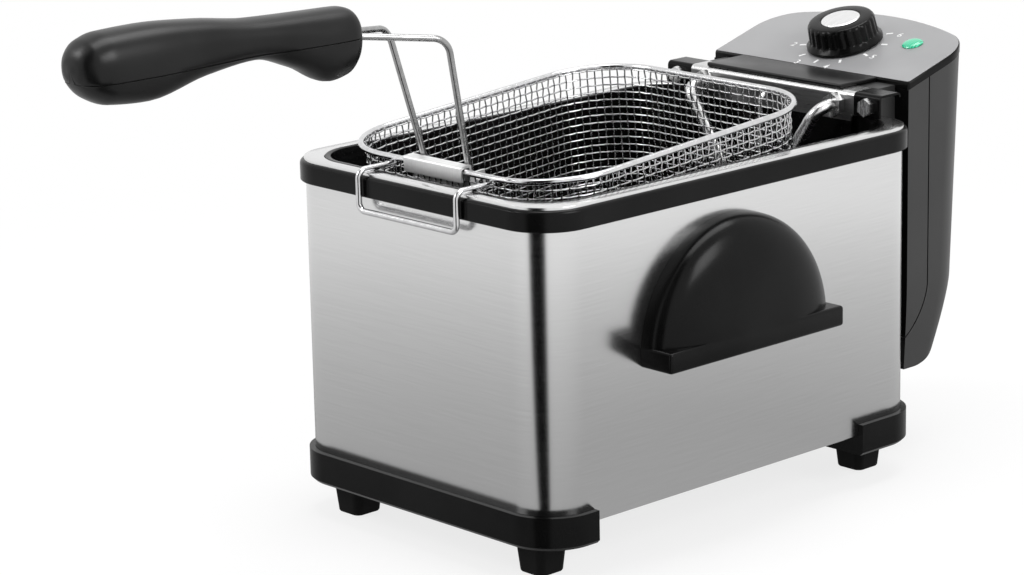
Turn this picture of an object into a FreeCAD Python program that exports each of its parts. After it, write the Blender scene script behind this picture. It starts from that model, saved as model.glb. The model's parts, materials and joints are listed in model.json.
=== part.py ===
import FreeCAD, Part
import math
import os

V = FreeCAD.Vector
X_AXIS = V(1, 0, 0)
Y_AXIS = V(0, 1, 0)
Z_AXIS = V(0, 0, 1)

# Driving dimensions in millimetres: floor at z = 0, front towards -y, origin under the body's middle
rim_half_x = 92.5
rim_half_y = 131.3
rim_corner = 24.7
rim_top = 177.0
rim_drop = 10.0
rim_overhang = 2.7
shell_wall = 0.8
shell_bottom = 27.0
base_bottom = 17.0
base_lap = 6.0
base_proud = 3.0
base_floor = 3.0
base_hollow_x = 48.0
vent_reach = 40
vent_step = 16
front_ear_end = -100.0
rear_ear_start = 83.0
foot_x = 65.0
foot_y = 111.0
foot_flange = 11.0
opening_half_x = 82.5
opening_half_y = 121.5
opening_corner = 24.0
tank_floor = 40.0
tank_wall = 1.0
tank_lip = 1.3
tank_lip_reach = 1.6
tank_gap = 0.3
tank_bevel = 14.0
trim_inset = 2.0
trim_gap = 0.1

# Side lifting handle: half-moon hood on a straight shelf
hood_radius = 59.5
hood_depth = 19.5
hood_y = -9.5
hood_bottom = 94.0
shelf_height = 10.0
hood_wall = 2.6
hood_end = 16.0
hood_sides = 18

# Control box: D-shaped in plan, sloping panel on top, bottom curving in to the rear wall
box_front = 146.0
box_half_x = 67.0
box_shoulder_radius = 24.0
box_bow_radius = 150.0
box_back = 208.5
box_lean = 0.05
box_bottom = 44.0
belly_z = 90.0
panel_front_z = 193.0
panel_slope = 16.0
panel_thick = 4.0
box_wall = 2.6
box_split = 162.0
split_gap = 0.8
split_turn_z = 88.0
split_radius = 31.0
neck_half_x = 58.0
neck_front = 133.0
neck_bottom = 62.0
rail_lip = 4.5
slide_gap = 0.4

# Knob on the panel
knob_y = 174.0
knob_skirt_radius = 20.0
knob_top_radius = 17.6
knob_height = 14.0
spindle_radius = 3.0
running_gap = 0.05
turned_sides = 20
peg_sides = 10
flute_count = 24
flute_share = 0.06

# Frying basket, hung in the draining place and tilted up to the rear
basket_half_x = 77.0
basket_front_y = -112.0
basket_rear_y = 73.0
basket_corner = 37.0
basket_rim_z = 183.2
basket_tilt = 4.33
basket_depth = 88.0
rim_wire = 1.5
wire_sides = 8
chord_turn = 22.5
net_thick = 1.0
net_bar = 1.3
net_rows = 4
end_columns = 5
side_columns = 7
floor_columns = 6
floor_rows = 8
corner_columns = 3
corner_inset = 0.9
hook_mid_x = 3.0
hook_half_x = 34.0
hook_drop = 19.0
hook_front_y = -133.6
hook_bend = 4.0

# Basket handle
handle_wire_radius = 1.6
pivot = V(14.6, -104.0, 177.5)
elbow = V(20.8, -121.7, 247.3)
grip_entry = V(7.5, -163.0, 252.5)
grip_socket = V(6.0, -190.0, 252.5)
leg_bends = (3.6, 10.0, 8.0)
grip_parting_z = 252.5
grip_screw_y = -177.0
grip_screw_seat = 241.0
grip_sides = 20
grip_square = 0.85
ear_x = pivot.x + 4.0
bracket_sheet = 1.2

# Sections along the grip from the wires outward: y, lowest z, highest z, half width
grip_stations = [(-163.0, 244.0, 263.0, 10.4), (-166.0, 233.5, 266.4, 12.9), (-178.0, 233.5, 266.6, 13.8),
                 (-197.0, 242.2, 267.1, 12.9), (-221.0, 249.4, 268.0, 12.1), (-249.0, 246.4, 271.6, 12.9),
                 (-280.0, 240.0, 274.0, 14.6), (-301.0, 241.6, 273.3, 14.4), (-312.0, 246.7, 270.2, 11.9),
                 (-317.0, 253.5, 264.0, 7.0)]

# Heating element on its sheet saddle, with the thermostat's bulb
element_radius = 3.2
element_bend = 8.0
element_z = 52.0
element_drop_y = 102.0
element_exit_x = 45.0
element_exit_z = 183.5
bulb_radius = 3.0
bulb_y = 109.0
bulb_low = 78.0
bulb_top = 138.0
capillary_radius = 1.2
plate_half_x = 73.0
plate_foot_x = 54.0
plate_screw_x = 65.0
plate_screw_z = 184.5
plate_front_y = 117.0
plate_top = 191.0
plate_thick = 1.2

# Pieces inside and behind the control box
lens_x = 38.0
lens_y = 183.0
fittings_z = 96.0
reset_x = -30.0
reset_radius = 2.9
cutout_back = 178.0
gland_radius = 5.9

shell_half_x = rim_half_x - rim_overhang
shell_half_y = rim_half_y - rim_overhang
shell_corner = rim_corner - rim_overhang
basket_mid_y = (basket_front_y + basket_rear_y) / 2
basket_half_y = (basket_rear_y - basket_front_y) / 2
slope = math.radians(panel_slope)
panel_normal = V(0, -math.sin(slope), math.cos(slope))
panel_back_z = panel_front_z + (box_back - box_front) * math.tan(slope)
knob_seat = V(0, knob_y, panel_front_z + (knob_y - box_front) * math.tan(slope))
net_out_x = basket_half_x - rim_wire - 0.1
net_out_y = basket_half_y - rim_wire - 0.1
net_corner = basket_corner - rim_wire - 0.1


def round_wire(half_x, half_y, radius, z, mid_y=0.0):
    """Closed rounded rectangle at height z."""
    edges = []
    corners = [(1, 1, 0), (-1, 1, 90), (-1, -1, 180), (1, -1, 270)]
    ends = []
    for sign_x, sign_y, start in corners:
        centre = V(sign_x * (half_x - radius), mid_y + sign_y * (half_y - radius), z)
        arc = [centre + V(radius * math.cos(math.radians(start + turn)),
                          radius * math.sin(math.radians(start + turn)), 0) for turn in (0, 45, 90)]
        ends.append(arc)
    for index, arc in enumerate(ends):
        edges.append(Part.Arc(*arc).toShape())
        edges.append(Part.LineSegment(arc[2], ends[(index + 1) % 4][0]).toShape())
    return Part.Wire(edges)


def round_prism(half_x, half_y, radius, low, high, mid_y=0.0):
    return Part.Face(round_wire(half_x, half_y, radius, low, mid_y)).extrude(V(0, 0, high - low))


def box(low_x, high_x, low_y, high_y, low_z, high_z):
    return Part.makeBox(high_x - low_x, high_y - low_y, high_z - low_z, V(low_x, low_y, low_z))


def rod(radius, length, start, direction):
    return Part.makeCylinder(radius, length, start, direction)


def peg(radius, length, start, direction):
    """Many-sided prism for a screw, a screw's hole or another small round piece."""
    face = Part.Face(closed_polygon(ring_points(start, direction, radius, peg_sides)))
    return face.extrude(V(direction).normalize() * length)


def mirrored(shape):
    return shape.mirror(V(0, 0, 0), X_AXIS)


def bent_path(points, bends):
    """Points along straight runs joined by round bends, a few chords to each; one radius for each corner."""
    path = [points[0]]
    for before, corner, after, bend in zip(points, points[1:], points[2:], bends):
        back = (before - corner).normalize()
        ahead = (after - corner).normalize()
        half_turn = (math.pi - back.getAngle(ahead)) / 2
        centre = corner + (back + ahead).normalize() * (bend / math.cos(half_turn))
        spoke = corner + back * bend * math.tan(half_turn) - centre
        axis = spoke.cross(corner + ahead * bend * math.tan(half_turn) - centre)
        chords = max(2, round(math.degrees(2 * half_turn) / chord_turn))
        for k in range(chords + 1):
            turn = FreeCAD.Rotation(axis, math.degrees(2 * half_turn) * k / chords)
            path.append(centre + turn.multVec(spoke))
    return path + [points[-1]]


def ring_points(centre, axis, radius, sides):
    """Corners of a regular polygon round an axis."""
    across = axis.cross(X_AXIS if abs(axis.x) < 0.5 * axis.Length else Z_AXIS).normalize()
    return [centre + FreeCAD.Rotation(axis, 360.0 * k / sides).multVec(across * radius) for k in range(sides)]


def closed_polygon(points):
    return Part.makePolygon(points + points[:1])


def skinned(rings, flat=True, closed=False):
    """Solid with flat faces between rings of equally many points, capped unless it closes on itself."""
    faces = []
    if closed:
        rings = rings + rings[:1]
    else:
        faces = [Part.Face(closed_polygon(ring)) for ring in (rings[0], rings[-1])]
    for low, high in zip(rings, rings[1:]):
        for k in range(len(low)):
            quad = [low[k - 1], low[k], high[k], high[k - 1]]
            patches = [quad] if flat else [quad[:3], [quad[0], quad[2], quad[3]]]
            faces += [Part.Face(closed_polygon(patch)) for patch in patches]
    return Part.makeSolid(Part.makeShell(faces))


def mitred_rings(path, radius):
    """Wire sections along a path, each in the plane that halves its corner."""
    ring = ring_points(path[0], path[1] - path[0], radius, wire_sides)
    rings = [ring]
    for index in range(1, len(path)):
        run = (path[index] - path[index - 1]).normalize()
        facing = run
        if index + 1 < len(path):
            facing = run + (path[index + 1] - path[index]).normalize()
        ring = [spot + run * ((path[index] - spot).dot(facing) / run.dot(facing)) for spot in ring]
        rings.append(ring)
    return rings


def bent_rod(points, radius, bends):
    return skinned(mitred_rings(bent_path(points, bends), radius))


def flat_net(width, height, columns, rows):
    """Net standing in the x-z plane from the origin, one face with square gaps."""
    step_x = (width - net_bar) / columns
    step_z = (height - net_bar) / rows

    def outline(low_x, low_z, high_x, high_z):
        return closed_polygon([V(low_x, 0, low_z), V(high_x, 0, low_z),
                               V(high_x, 0, high_z), V(low_x, 0, high_z)])

    gaps = [outline(net_bar + column * step_x, net_bar + row * step_z,
                    (column + 1) * step_x, (row + 1) * step_z)
            for column in range(columns) for row in range(rows)]
    face = Part.makeFace([outline(0, 0, width, height)] + gaps, "Part::FaceMakerBullseye")
    return face.extrude(V(0, net_thick, 0))


def make_outer_shell():
    top = rim_top - 3.2
    outer = round_prism(shell_half_x, shell_half_y, shell_corner, shell_bottom, top)
    inner = round_prism(shell_half_x - shell_wall, shell_half_y - shell_wall, shell_corner - shell_wall,
                        shell_bottom - 1, top + 1)
    holes = [peg(1.7, 5.0, spot - V(3, 0, 0), X_AXIS) for spot in hood_screw_spots()]
    return outer.cut(inner).cut(Part.makeCompound(holes + [mirrored(hole) for hole in holes]))


def make_rim():
    outer = round_prism(rim_half_x, rim_half_y, rim_corner, rim_top - rim_drop, rim_top)
    crown = [edge for edge in outer.Edges if edge.BoundBox.ZMin > rim_top - 0.01]
    outer = outer.makeChamfer(1.6, crown)
    pocket = round_prism(shell_half_x + 0.1, shell_half_y + 0.1, shell_corner + 0.1,
                         rim_top - rim_drop - 1, rim_top - 3.0)
    inner_skirt = opening_prism(2.0, rim_top - rim_drop, rim_top - 2.0)
    ring = outer.cut(pocket).fuse(inner_skirt)
    return ring.cut(opening_prism(0.0, rim_top - rim_drop - 1, rim_top + 1)).removeSplitter()


def opening_prism(grow, low, high):
    """Prism of the rim's opening, offset outwards by grow."""
    return round_prism(opening_half_x + grow, opening_half_y + grow, opening_corner + grow, low, high)


def make_rim_trim():
    """Flat bright ring on top of the rim, round the tank's lip."""
    low = rim_top + trim_gap / 2
    high = rim_top + tank_lip
    outer = round_prism(rim_half_x - trim_inset, rim_half_y - trim_inset, rim_corner - trim_inset, low, high)
    return outer.cut(opening_prism(tank_lip_reach + trim_gap, low - 1, high + 1))


def make_tank():
    """Deep pot with bevelled floor edges, hung from a lip on the rim."""
    def pot(inset, low, bevel):
        body = opening_prism(-tank_gap - inset, low, rim_top + trim_gap)
        floor_edges = [edge for edge in body.Edges if edge.BoundBox.ZMax < low + 0.01]
        return body.makeChamfer(bevel, floor_edges)

    lip = opening_prism(tank_lip_reach, rim_top + trim_gap, rim_top + tank_lip)
    mouth = opening_prism(-tank_gap - tank_wall, rim_top - 5, rim_top + 5)
    inside = pot(tank_wall, tank_floor + tank_wall, tank_bevel - tank_wall)
    return pot(0, tank_floor, tank_bevel).fuse(lip).cut(inside).cut(mouth).removeSplitter()


def make_base_pan():
    top = shell_bottom + base_lap
    bumper = round_prism(shell_half_x + base_proud, shell_half_y + base_proud, shell_corner + base_proud,
                         base_bottom, top)
    foot_edges = [edge for edge in bumper.Edges if edge.BoundBox.ZMax < base_bottom + 0.01]
    bumper = bumper.makeChamfer(1.6, foot_edges)
    seat = round_prism(shell_half_x + 0.1, shell_half_y + 0.1, shell_corner + 0.1, shell_bottom, top + 1)
    middle = box(-120, 120, front_ear_end, rear_ear_start, base_bottom - 1, top + 1)
    inset = shell_wall + 0.2
    floor = round_prism(shell_half_x - inset, shell_half_y - inset, shell_corner - inset,
                        shell_bottom, shell_bottom + base_floor)
    ears = ((-shell_half_y + 5, front_ear_end - 4), (rear_ear_start + 4, shell_half_y - 5))
    hollows = [box(-base_hollow_x, base_hollow_x, low, high, base_bottom - 1, shell_bottom - base_floor)
               for low, high in ears]
    vents = [box(x - 1.5, x + 1.5, -40, 40, shell_bottom - 1, shell_bottom + base_floor + 1)
             for x in range(-vent_reach, vent_reach + 1, vent_step)]
    pan = bumper.cut(seat).cut(middle).fuse(floor)
    return pan.cut(Part.makeCompound(hollows)).cut(Part.makeCompound(vents)).removeSplitter()


def make_foot(x, y):
    """Tapered block with cut corners and a flange that seats against the base."""
    def section(half, z):
        cut = 0.55 * half
        return [V(x + across, y + along, z) for across, along in
                ((half, -cut), (half, cut), (cut, half), (-cut, half),
                 (-half, cut), (-half, -cut), (-cut, -half), (cut, -half))]

    levels = [(7.2, 0.0), (8.0, 0.8), (9.4, base_bottom - 2.5),
              (foot_flange, base_bottom - 2.0), (foot_flange, base_bottom)]
    return skinned([section(half, z) for half, z in levels])


def hood_dome(depth, radius):
    """Half of a flattened dome: half discs that shrink along a quarter ellipse."""
    rings = []
    for angle in (0, 18, 36, 54, 70, 83):
        reach = radius * math.cos(math.radians(angle))
        out = depth * math.sin(math.radians(angle))
        turns = [math.pi * k / hood_sides for k in range(hood_sides + 1)]
        rings.append([V(out, reach * math.cos(turn), reach * math.sin(turn)) for turn in turns])
    return skinned(rings)


def make_side_handle():
    """Hollow half dome over a straight shelf, open below for the fingers, with solid ends for its screws."""
    wall_x = shell_half_x + 0.1

    def hood(inset):
        dome = hood_dome(hood_depth - inset, hood_radius - inset)
        dome.translate(V(wall_x, hood_y, hood_bottom + shelf_height * 0.4))
        return dome

    shelf = box(wall_x, wall_x + hood_depth, hood_y - hood_radius, hood_y + hood_radius,
                hood_bottom, hood_bottom + shelf_height)
    shelf = shelf.makeFillet(2.0, [edge for edge in shelf.Edges if edge.BoundBox.XMin > wall_x + 1])
    reach = hood_radius - hood_end
    middle = box(wall_x - 1, wall_x + 50, hood_y - reach, hood_y + reach, 0, 300)
    mouth = box(wall_x - 1, wall_x + hood_depth - hood_wall, hood_y - reach, hood_y + reach,
                hood_bottom - 1, hood_bottom + shelf_height * 0.6)
    handle = hood(0).fuse(shelf).cut(hood(hood_wall).common(middle)).cut(mouth)
    holes = [peg(1.6, 8.0, spot - V(1, 0, 0), X_AXIS) for spot in hood_screw_spots()]
    return handle.cut(Part.makeCompound(holes)).removeSplitter()


def hood_screw_spots():
    reach = hood_radius - hood_end / 2
    return [V(shell_half_x + 0.1, hood_y + side * reach, hood_bottom + shelf_height / 2) for side in (-1, 1)]


def make_handle_screws():
    """Pan-head screws from inside the shell into the solid ends of each handle."""
    screws = []
    for spot in hood_screw_spots():
        inside = spot - V(shell_wall + 0.2, 0, 0)
        screws.append(peg(3.2, 2.0, inside - V(2.0, 0, 0), X_AXIS).fuse(peg(1.5, 7.0, inside, X_AXIS)))
    return Part.makeCompound(screws + [mirrored(screw) for screw in screws])


def box_plan(inset):
    """D-shaped prism that leans back: straight sides, round shoulders and a wide bowed back, all tangent."""
    half = box_half_x - inset
    front = neck_front - 20.0
    bow = box_bow_radius - inset
    bow_mid = V(0, box_back - box_bow_radius, panel_back_z)
    shoulder_x = box_half_x - box_shoulder_radius
    ahead = math.sqrt((box_bow_radius - box_shoulder_radius) ** 2 - shoulder_x ** 2)
    middle = bow_mid + V(shoulder_x, ahead, 0)
    radius = box_shoulder_radius - inset
    meet = bow_mid + (middle - bow_mid).normalize() * bow
    half_way = (meet - middle + V(radius, 0, 0)).normalize()

    def flip(point):
        return V(-point.x, point.y, point.z)

    near = V(half, front, panel_back_z)
    side = V(half, middle.y, panel_back_z)
    bend = middle + half_way * radius
    edges = [Part.LineSegment(flip(near), near).toShape(),
             Part.LineSegment(near, side).toShape(),
             Part.Arc(side, bend, meet).toShape(),
             Part.Arc(meet, bow_mid + V(0, bow, 0), flip(meet)).toShape(),
             Part.Arc(flip(meet), flip(bend), flip(side)).toShape(),
             Part.LineSegment(flip(side), flip(near)).toShape()]
    prism = Part.Face(Part.Wire(edges)).extrude(V(0, 0, 300.0))
    prism.translate(V(0, 0, -200.0))
    prism.rotate(V(0, box_back, panel_back_z), X_AXIS, -math.degrees(math.atan(box_lean)))
    return prism


def box_side(inset, top_drop):
    """Side profile with the sloping top and the curved lower back."""
    front = box_front + inset
    rise = math.tan(slope)
    far = box_back + 20.0
    top_front = V(0, front, panel_front_z - top_drop + inset * rise)
    top_back = V(0, far, panel_front_z - top_drop + (far - box_front) * rise)
    reach = box_back - box_lean * (panel_back_z - belly_z) + 1.0 - inset
    radius = belly_z - box_bottom - inset
    low_y = reach - radius
    eighth = math.sqrt(0.5)
    belly = V(0, low_y + radius * eighth, belly_z - radius * eighth)
    edges = [Part.LineSegment(V(0, front, box_bottom + inset), top_front).toShape(),
             Part.LineSegment(top_front, top_back).toShape(),
             Part.LineSegment(top_back, V(0, far, belly_z)).toShape(),
             Part.LineSegment(V(0, far, belly_z), V(0, reach, belly_z)).toShape(),
             Part.Arc(V(0, reach, belly_z), belly, V(0, low_y, box_bottom + inset)).toShape(),
             Part.LineSegment(V(0, low_y, box_bottom + inset), V(0, front, box_bottom + inset)).toShape()]
    face = Part.Face(Part.Wire(edges))
    face.translate(V(-box_half_x - 5, 0, 0))
    return face.extrude(V(2 * box_half_x + 10, 0, 0))


def box_solid(inset, top_drop):
    return box_plan(inset).common(box_side(inset, top_drop))


def front_zone(grow):
    """Space of the front shell: straight down behind the panel, then round to the front."""
    top = box(-100, 100, 100, box_split + grow, split_turn_z, 300)
    turn = rod(split_radius + grow, 200, V(-100, box_split - split_radius, split_turn_z), X_AXIS)
    return top.fuse(turn)


def make_control_shells():
    outer = box_solid(0, panel_thick + 0.05)
    inner = box_solid(box_wall, -6.0)
    walls = outer.cut(inner)
    front = walls.common(front_zone(-split_gap / 2))
    rear = walls.cut(front_zone(split_gap / 2))
    skin = inner.cut(box_solid(box_wall + 1.4, -6.0))
    tongue = skin.common(front_zone(4.0)).cut(front_zone(-5.0)).common(outer)
    front = front.fuse(tongue)
    neck = box(-neck_half_x, neck_half_x, neck_front, box_front, neck_bottom, panel_front_z - 2.5)
    grooves = [box(low, high, 136.4, 140.6, neck_bottom - 1, 166)
               for low, high in ((-neck_half_x - 1, -neck_half_x + rail_lip + slide_gap),
                                 (neck_half_x - rail_lip - slide_gap, neck_half_x + 1))]
    tunnel = box(-50, 50, neck_front + 3.0, box_front + box_wall + 1, neck_bottom + 4, panel_front_z - 5)
    front = front.fuse(neck).cut(Part.makeCompound(grooves)).cut(tunnel)
    wire_way = [peg(4.2, 4.0, V(x, neck_front - 0.5, element_exit_z), Y_AXIS)
                for x in (-element_exit_x, 0.0, element_exit_x)]
    front = front.cut(Part.makeCompound(wire_way)).removeSplitter()
    gland_hole = peg(gland_radius + 0.4, 30, V(0, box_back - 20, fittings_z), Y_AXIS)
    reset_hole = rod(reset_radius + 0.1, 30, V(reset_x, box_back - 20, fittings_z), Y_AXIS)
    return front, rear.cut(gland_hole).cut(reset_hole)


def make_rear_guide():
    """Pair of vertical rails on the rear wall, with lips that hold the control box's neck."""
    low = V(neck_half_x + slide_gap, shell_half_y + 0.1, 60.0)
    rails = []
    for side in (1, -1):
        rail = box(low.x, low.x + 5.0, low.y, 140.2, low.z, 165.0)
        lip = box(neck_half_x - rail_lip, low.x, 136.8, 140.2, low.z + 4, 165.0)
        foot = box(neck_half_x - 12.0, low.x, low.y, low.y + 2.4, low.z, 165.0)
        rail = rail.fuse(lip).fuse(foot).removeSplitter()
        rails.append(rail if side == 1 else mirrored(rail))
    bridge = box(-neck_half_x + 12.0, neck_half_x - 12.0, low.y, low.y + 2.4, 60.0, 64.0)
    return rails[0].fuse(rails[1]).fuse(bridge).removeSplitter()


def panel_point(x, y, lift):
    return V(x, y, panel_front_z + (y - box_front) * math.tan(slope)) + panel_normal * lift


def make_control_panel():
    """Slab along the sloping top."""
    slab = box_solid(0, 0).cut(box_solid(-1.0, panel_thick))
    spindle_hole = rod(spindle_radius + running_gap, 12, panel_point(0, knob_y, -9), panel_normal)
    lens_hole = peg(4.8, 14, panel_point(lens_x, lens_y, -10), panel_normal)
    return slab.cut(spindle_hole).cut(lens_hole).removeSplitter()


def turned(profile, seat, axis):
    """Many-sided turned solid: (radius, height) rings about z, stood on seat along axis."""
    rings = [ring_points(V(0, 0, height), Z_AXIS, radius, turned_sides) for radius, height in profile]
    solid = skinned(rings)
    solid.Placement = FreeCAD.Placement(seat, FreeCAD.Rotation(Z_AXIS, axis))
    return solid


def make_knob():
    """Skirt and tapered fluted grip with a seat for the cap."""
    lift = 0.4
    skirt = turned([(knob_skirt_radius, lift), (knob_skirt_radius, 2.2), (knob_top_radius + 0.6, 4.0)],
                   knob_seat, panel_normal)

    def fluted(radius, height):
        points = []
        for index in range(2 * flute_count):
            reach = radius * (1 - flute_share * (index % 2))
            angle = math.pi * index / flute_count
            points.append(V(reach * math.cos(angle), reach * math.sin(angle), height))
        return points

    grip = skinned([fluted(knob_top_radius + 0.6, 3.9), fluted(knob_top_radius, knob_height - 1.2),
                    fluted(knob_top_radius - 1.0, knob_height)])
    grip.Placement = FreeCAD.Placement(knob_seat, FreeCAD.Rotation(Z_AXIS, panel_normal))
    seat = turned([(10.4, knob_height - 1.0), (11.0, knob_height + 0.1)], knob_seat, panel_normal)
    socket = rod(spindle_radius, 8.0, knob_seat - panel_normal * 0.5, panel_normal)
    return skirt.fuse(grip).cut(seat).cut(socket).removeSplitter()


def make_knob_cap():
    return turned([(10.3, knob_height - 0.95), (10.3, knob_height - 0.2), (9.4, knob_height + 0.5),
                   (4.0, knob_height + 0.8)], knob_seat, panel_normal)


def make_lens():
    return turned([(4.5, -3.0), (4.5, 0.05), (5.6, 0.05), (5.6, 0.5), (4.6, 1.4), (2.4, 1.9)],
                  panel_point(lens_x, lens_y, 0), panel_normal)


def make_lamp():
    return turned([(3.0, -16.0), (3.0, -6.0), (1.8, -3.4)], panel_point(lens_x, lens_y, 0), panel_normal)


def make_thermostat():
    seat = panel_point(0, knob_y, 0)
    body = Part.makeBox(34, 24, 18, V(-17, -12, -26))
    collar = peg(7.0, 3.6, V(0, 0, -8.0), Z_AXIS)
    bore = peg(spindle_radius + 0.3, 20, V(0, 0, -20), Z_AXIS)
    tabs = [Part.makeBox(6.3, 0.8, 8, V(x, 6, -34)) for x in (-14, 7.7)]
    body = body.fuse(collar).fuse(tabs).cut(bore)
    body.Placement = FreeCAD.Placement(seat, FreeCAD.Rotation(Z_AXIS, panel_normal))
    return body


def make_spindle():
    return rod(spindle_radius, 26.0, panel_point(0, knob_y, -19.0), panel_normal)


def make_element_plate():
    """Sheet saddle over the tank's rear edge: front flange, top and rear flange."""
    rear = neck_front - 0.1
    outer = box(-plate_half_x, plate_half_x, plate_front_y, rear, 150.0, plate_top)
    bends = [edge for edge in outer.Edges
             if edge.BoundBox.ZMin > plate_top - 0.01 and edge.BoundBox.XLength > 10]
    outer = outer.makeFillet(2.5, bends)
    inner = box(-plate_half_x - 1, plate_half_x + 1, plate_front_y + plate_thick, rear - plate_thick,
                149.0, plate_top - plate_thick)
    plate = outer.cut(inner)
    plate = plate.cut(box(-80, 80, rear - 2, rear + 1, 149, 172))
    for low in (-80, plate_foot_x):
        plate = plate.cut(box(low, low + 80 - plate_foot_x, plate_front_y - 1, plate_front_y + 3,
                              149, rim_top + 2.5))
    for low in (-80, neck_half_x - 1.0):
        plate = plate.cut(box(low, low + 81 - neck_half_x, rear - 2, rear + 1, 149, plate_top - 2.6))
    holes = [peg(capillary_radius + 0.5, 30, V(0, plate_front_y - 2, element_exit_z), Y_AXIS)]
    for side in (-1, 1):
        for start in (plate_front_y - 2, rear - 4):
            spot = V(side * element_exit_x, start, element_exit_z)
            holes.append(peg(element_radius + 0.3, 6, spot, Y_AXIS))
        holes.append(peg(2.1, 6, V(side * plate_screw_x, plate_front_y - 2, plate_screw_z), Y_AXIS))
    return plate.cut(Part.makeCompound(holes))


def element_route(side):
    """One leg: out of the box, down the tank's rear wall and forward along its floor."""
    spots = [(element_exit_x, 140.0, element_exit_z), (element_exit_x, element_drop_y, element_exit_z),
             (20.0, element_drop_y, 148.0), (16.0, element_drop_y, element_z), (16.0, 76.0, element_z),
             (55.0, 55.0, element_z), (55.0, -90.0, element_z)]
    return [V(side * x, y, z) for x, y, z in spots]


def make_heating_element():
    route = element_route(1) + list(reversed(element_route(-1)))
    return bent_rod(route, element_radius, [element_bend] * (len(route) - 2))


def hex_nut(across, bore, length, start, direction):
    corners = ring_points(V(0, 0, 0), Z_AXIS, across / math.sqrt(3), 6)
    nut = Part.Face(closed_polygon(corners)).extrude(V(0, 0, length))
    nut = nut.cut(peg(bore, length + 2, V(0, 0, -1), Z_AXIS))
    nut.Placement = FreeCAD.Placement(start, FreeCAD.Rotation(Z_AXIS, direction))
    return nut


def make_element_nuts():
    seats = [V(side * element_exit_x, plate_front_y - 4.7, element_exit_z) for side in (-1, 1)]
    return Part.makeCompound([hex_nut(11.0, element_radius + 0.3, 4.5, seat, Y_AXIS) for seat in seats])


def make_plate_screws():
    """Hex-head screws with nuts behind the plate's front flange."""
    screws = []
    for side in (-1, 1):
        face = V(side * plate_screw_x, plate_front_y - 0.05, plate_screw_z)
        head = hex_nut(8.0, 0.5, 3.0, face - V(0, 3.0, 0), Y_AXIS)
        shank = peg(2.0, 7.5, face - V(0, 2.0, 0), Y_AXIS)
        nut = hex_nut(7.0, 1.9, 3.0, face + V(0, plate_thick + 0.1, 0), Y_AXIS)
        screws.append(head.fuse(shank).fuse(nut))
    return Part.makeCompound(screws)


def make_bulb():
    return peg(bulb_radius, bulb_top - bulb_low, V(0, bulb_y, bulb_low), Z_AXIS)


def make_capillary():
    """Thin tube from the thermostat's side through the plate and down to the bulb."""
    route = [V(0, 150.0, element_exit_z), V(0, bulb_y, element_exit_z), V(0, bulb_y, bulb_top + 0.05)]
    return bent_rod(route, capillary_radius, [4.0])


def make_cutout():
    """Round overheat switch on a small flange, in line with its reset button."""
    body = peg(9.0, 14.0, V(reset_x, cutout_back, fittings_z), Y_AXIS)
    flange = box(reset_x - 12, reset_x + 12, cutout_back - 1.5, cutout_back, fittings_z - 8, fittings_z + 8)
    return body.fuse(flange).removeSplitter()


def make_reset_button():
    return peg(reset_radius, 7.5, V(reset_x, cutout_back + 17.0, fittings_z), Y_AXIS)


def make_terminal_block():
    block = box(14, 50, 152, 166, 108, 124)
    ways = [peg(2.2, 20, V(x, 150, 116), Y_AXIS) for x in (20, 32, 44)]
    return block.cut(Part.makeCompound(ways))


def make_interlock():
    body = box(-40, -20, 151, 158, 130, 142)
    lever = box(-38, -22, 149.6, 150.8, 141, 142.2).fuse(box(-38, -36, 149.6, 151, 138, 142.2))
    return body.fuse(lever).removeSplitter()


def make_gland():
    """Bushing in the rear wall with a flange outside."""
    seat = V(0, box_back - 6.0, fittings_z)
    profile = [(gland_radius, -6.0), (gland_radius, 1.0), (9.0, 1.0), (9.0, 2.6), (7.4, 3.6)]
    body = turned(profile, seat, Y_AXIS)
    return body.cut(turned([(3.8, -7.0), (3.8, 5.0)], seat, Y_AXIS))


def hang(shape):
    """Turn a level basket piece to the draining tilt about the front rim, and set its height."""
    shape.rotate(V(0, basket_front_y, 0), X_AXIS, basket_tilt)
    shape.translate(V(0, 0, basket_rim_z))
    return shape


def make_basket_rim():
    """Closed ring of wire, started at the middle of the right side."""
    near_y, far_y = basket_front_y, basket_rear_y
    start = V(basket_half_x, basket_mid_y, 0)
    corners = [V(basket_half_x, far_y, 0), V(-basket_half_x, far_y, 0), V(-basket_half_x, near_y, 0),
               V(basket_half_x, near_y, 0)]
    rings = mitred_rings(bent_path([start] + corners + [start], [basket_corner] * 4), rim_wire)
    return hang(skinned(rings[:-1], closed=True))


def make_basket_walls():
    """Four flat nets between the corners, standing on the floor net."""
    long_run = 2 * (net_out_y - net_corner)
    short_run = 2 * (net_out_x - net_corner)
    low = -basket_depth
    walls = {}
    for name, side in (("basket_front_mesh", -1), ("basket_rear_mesh", 1)):
        net = flat_net(short_run, basket_depth, end_columns, net_rows)
        edge = net_out_y if side == 1 else -net_out_y
        net.translate(V(-short_run / 2, basket_mid_y + edge - (net_thick if side == 1 else 0), low))
        walls[name] = hang(net)
    for name, side in (("basket_left_mesh", -1), ("basket_right_mesh", 1)):
        net = flat_net(long_run, basket_depth, side_columns, net_rows)
        net.rotate(V(0, 0, 0), Z_AXIS, 90)
        edge = net_out_x if side == 1 else -net_out_x + net_thick
        net.translate(V(edge, basket_mid_y - long_run / 2, low))
        walls[name] = hang(net)
    return walls


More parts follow.
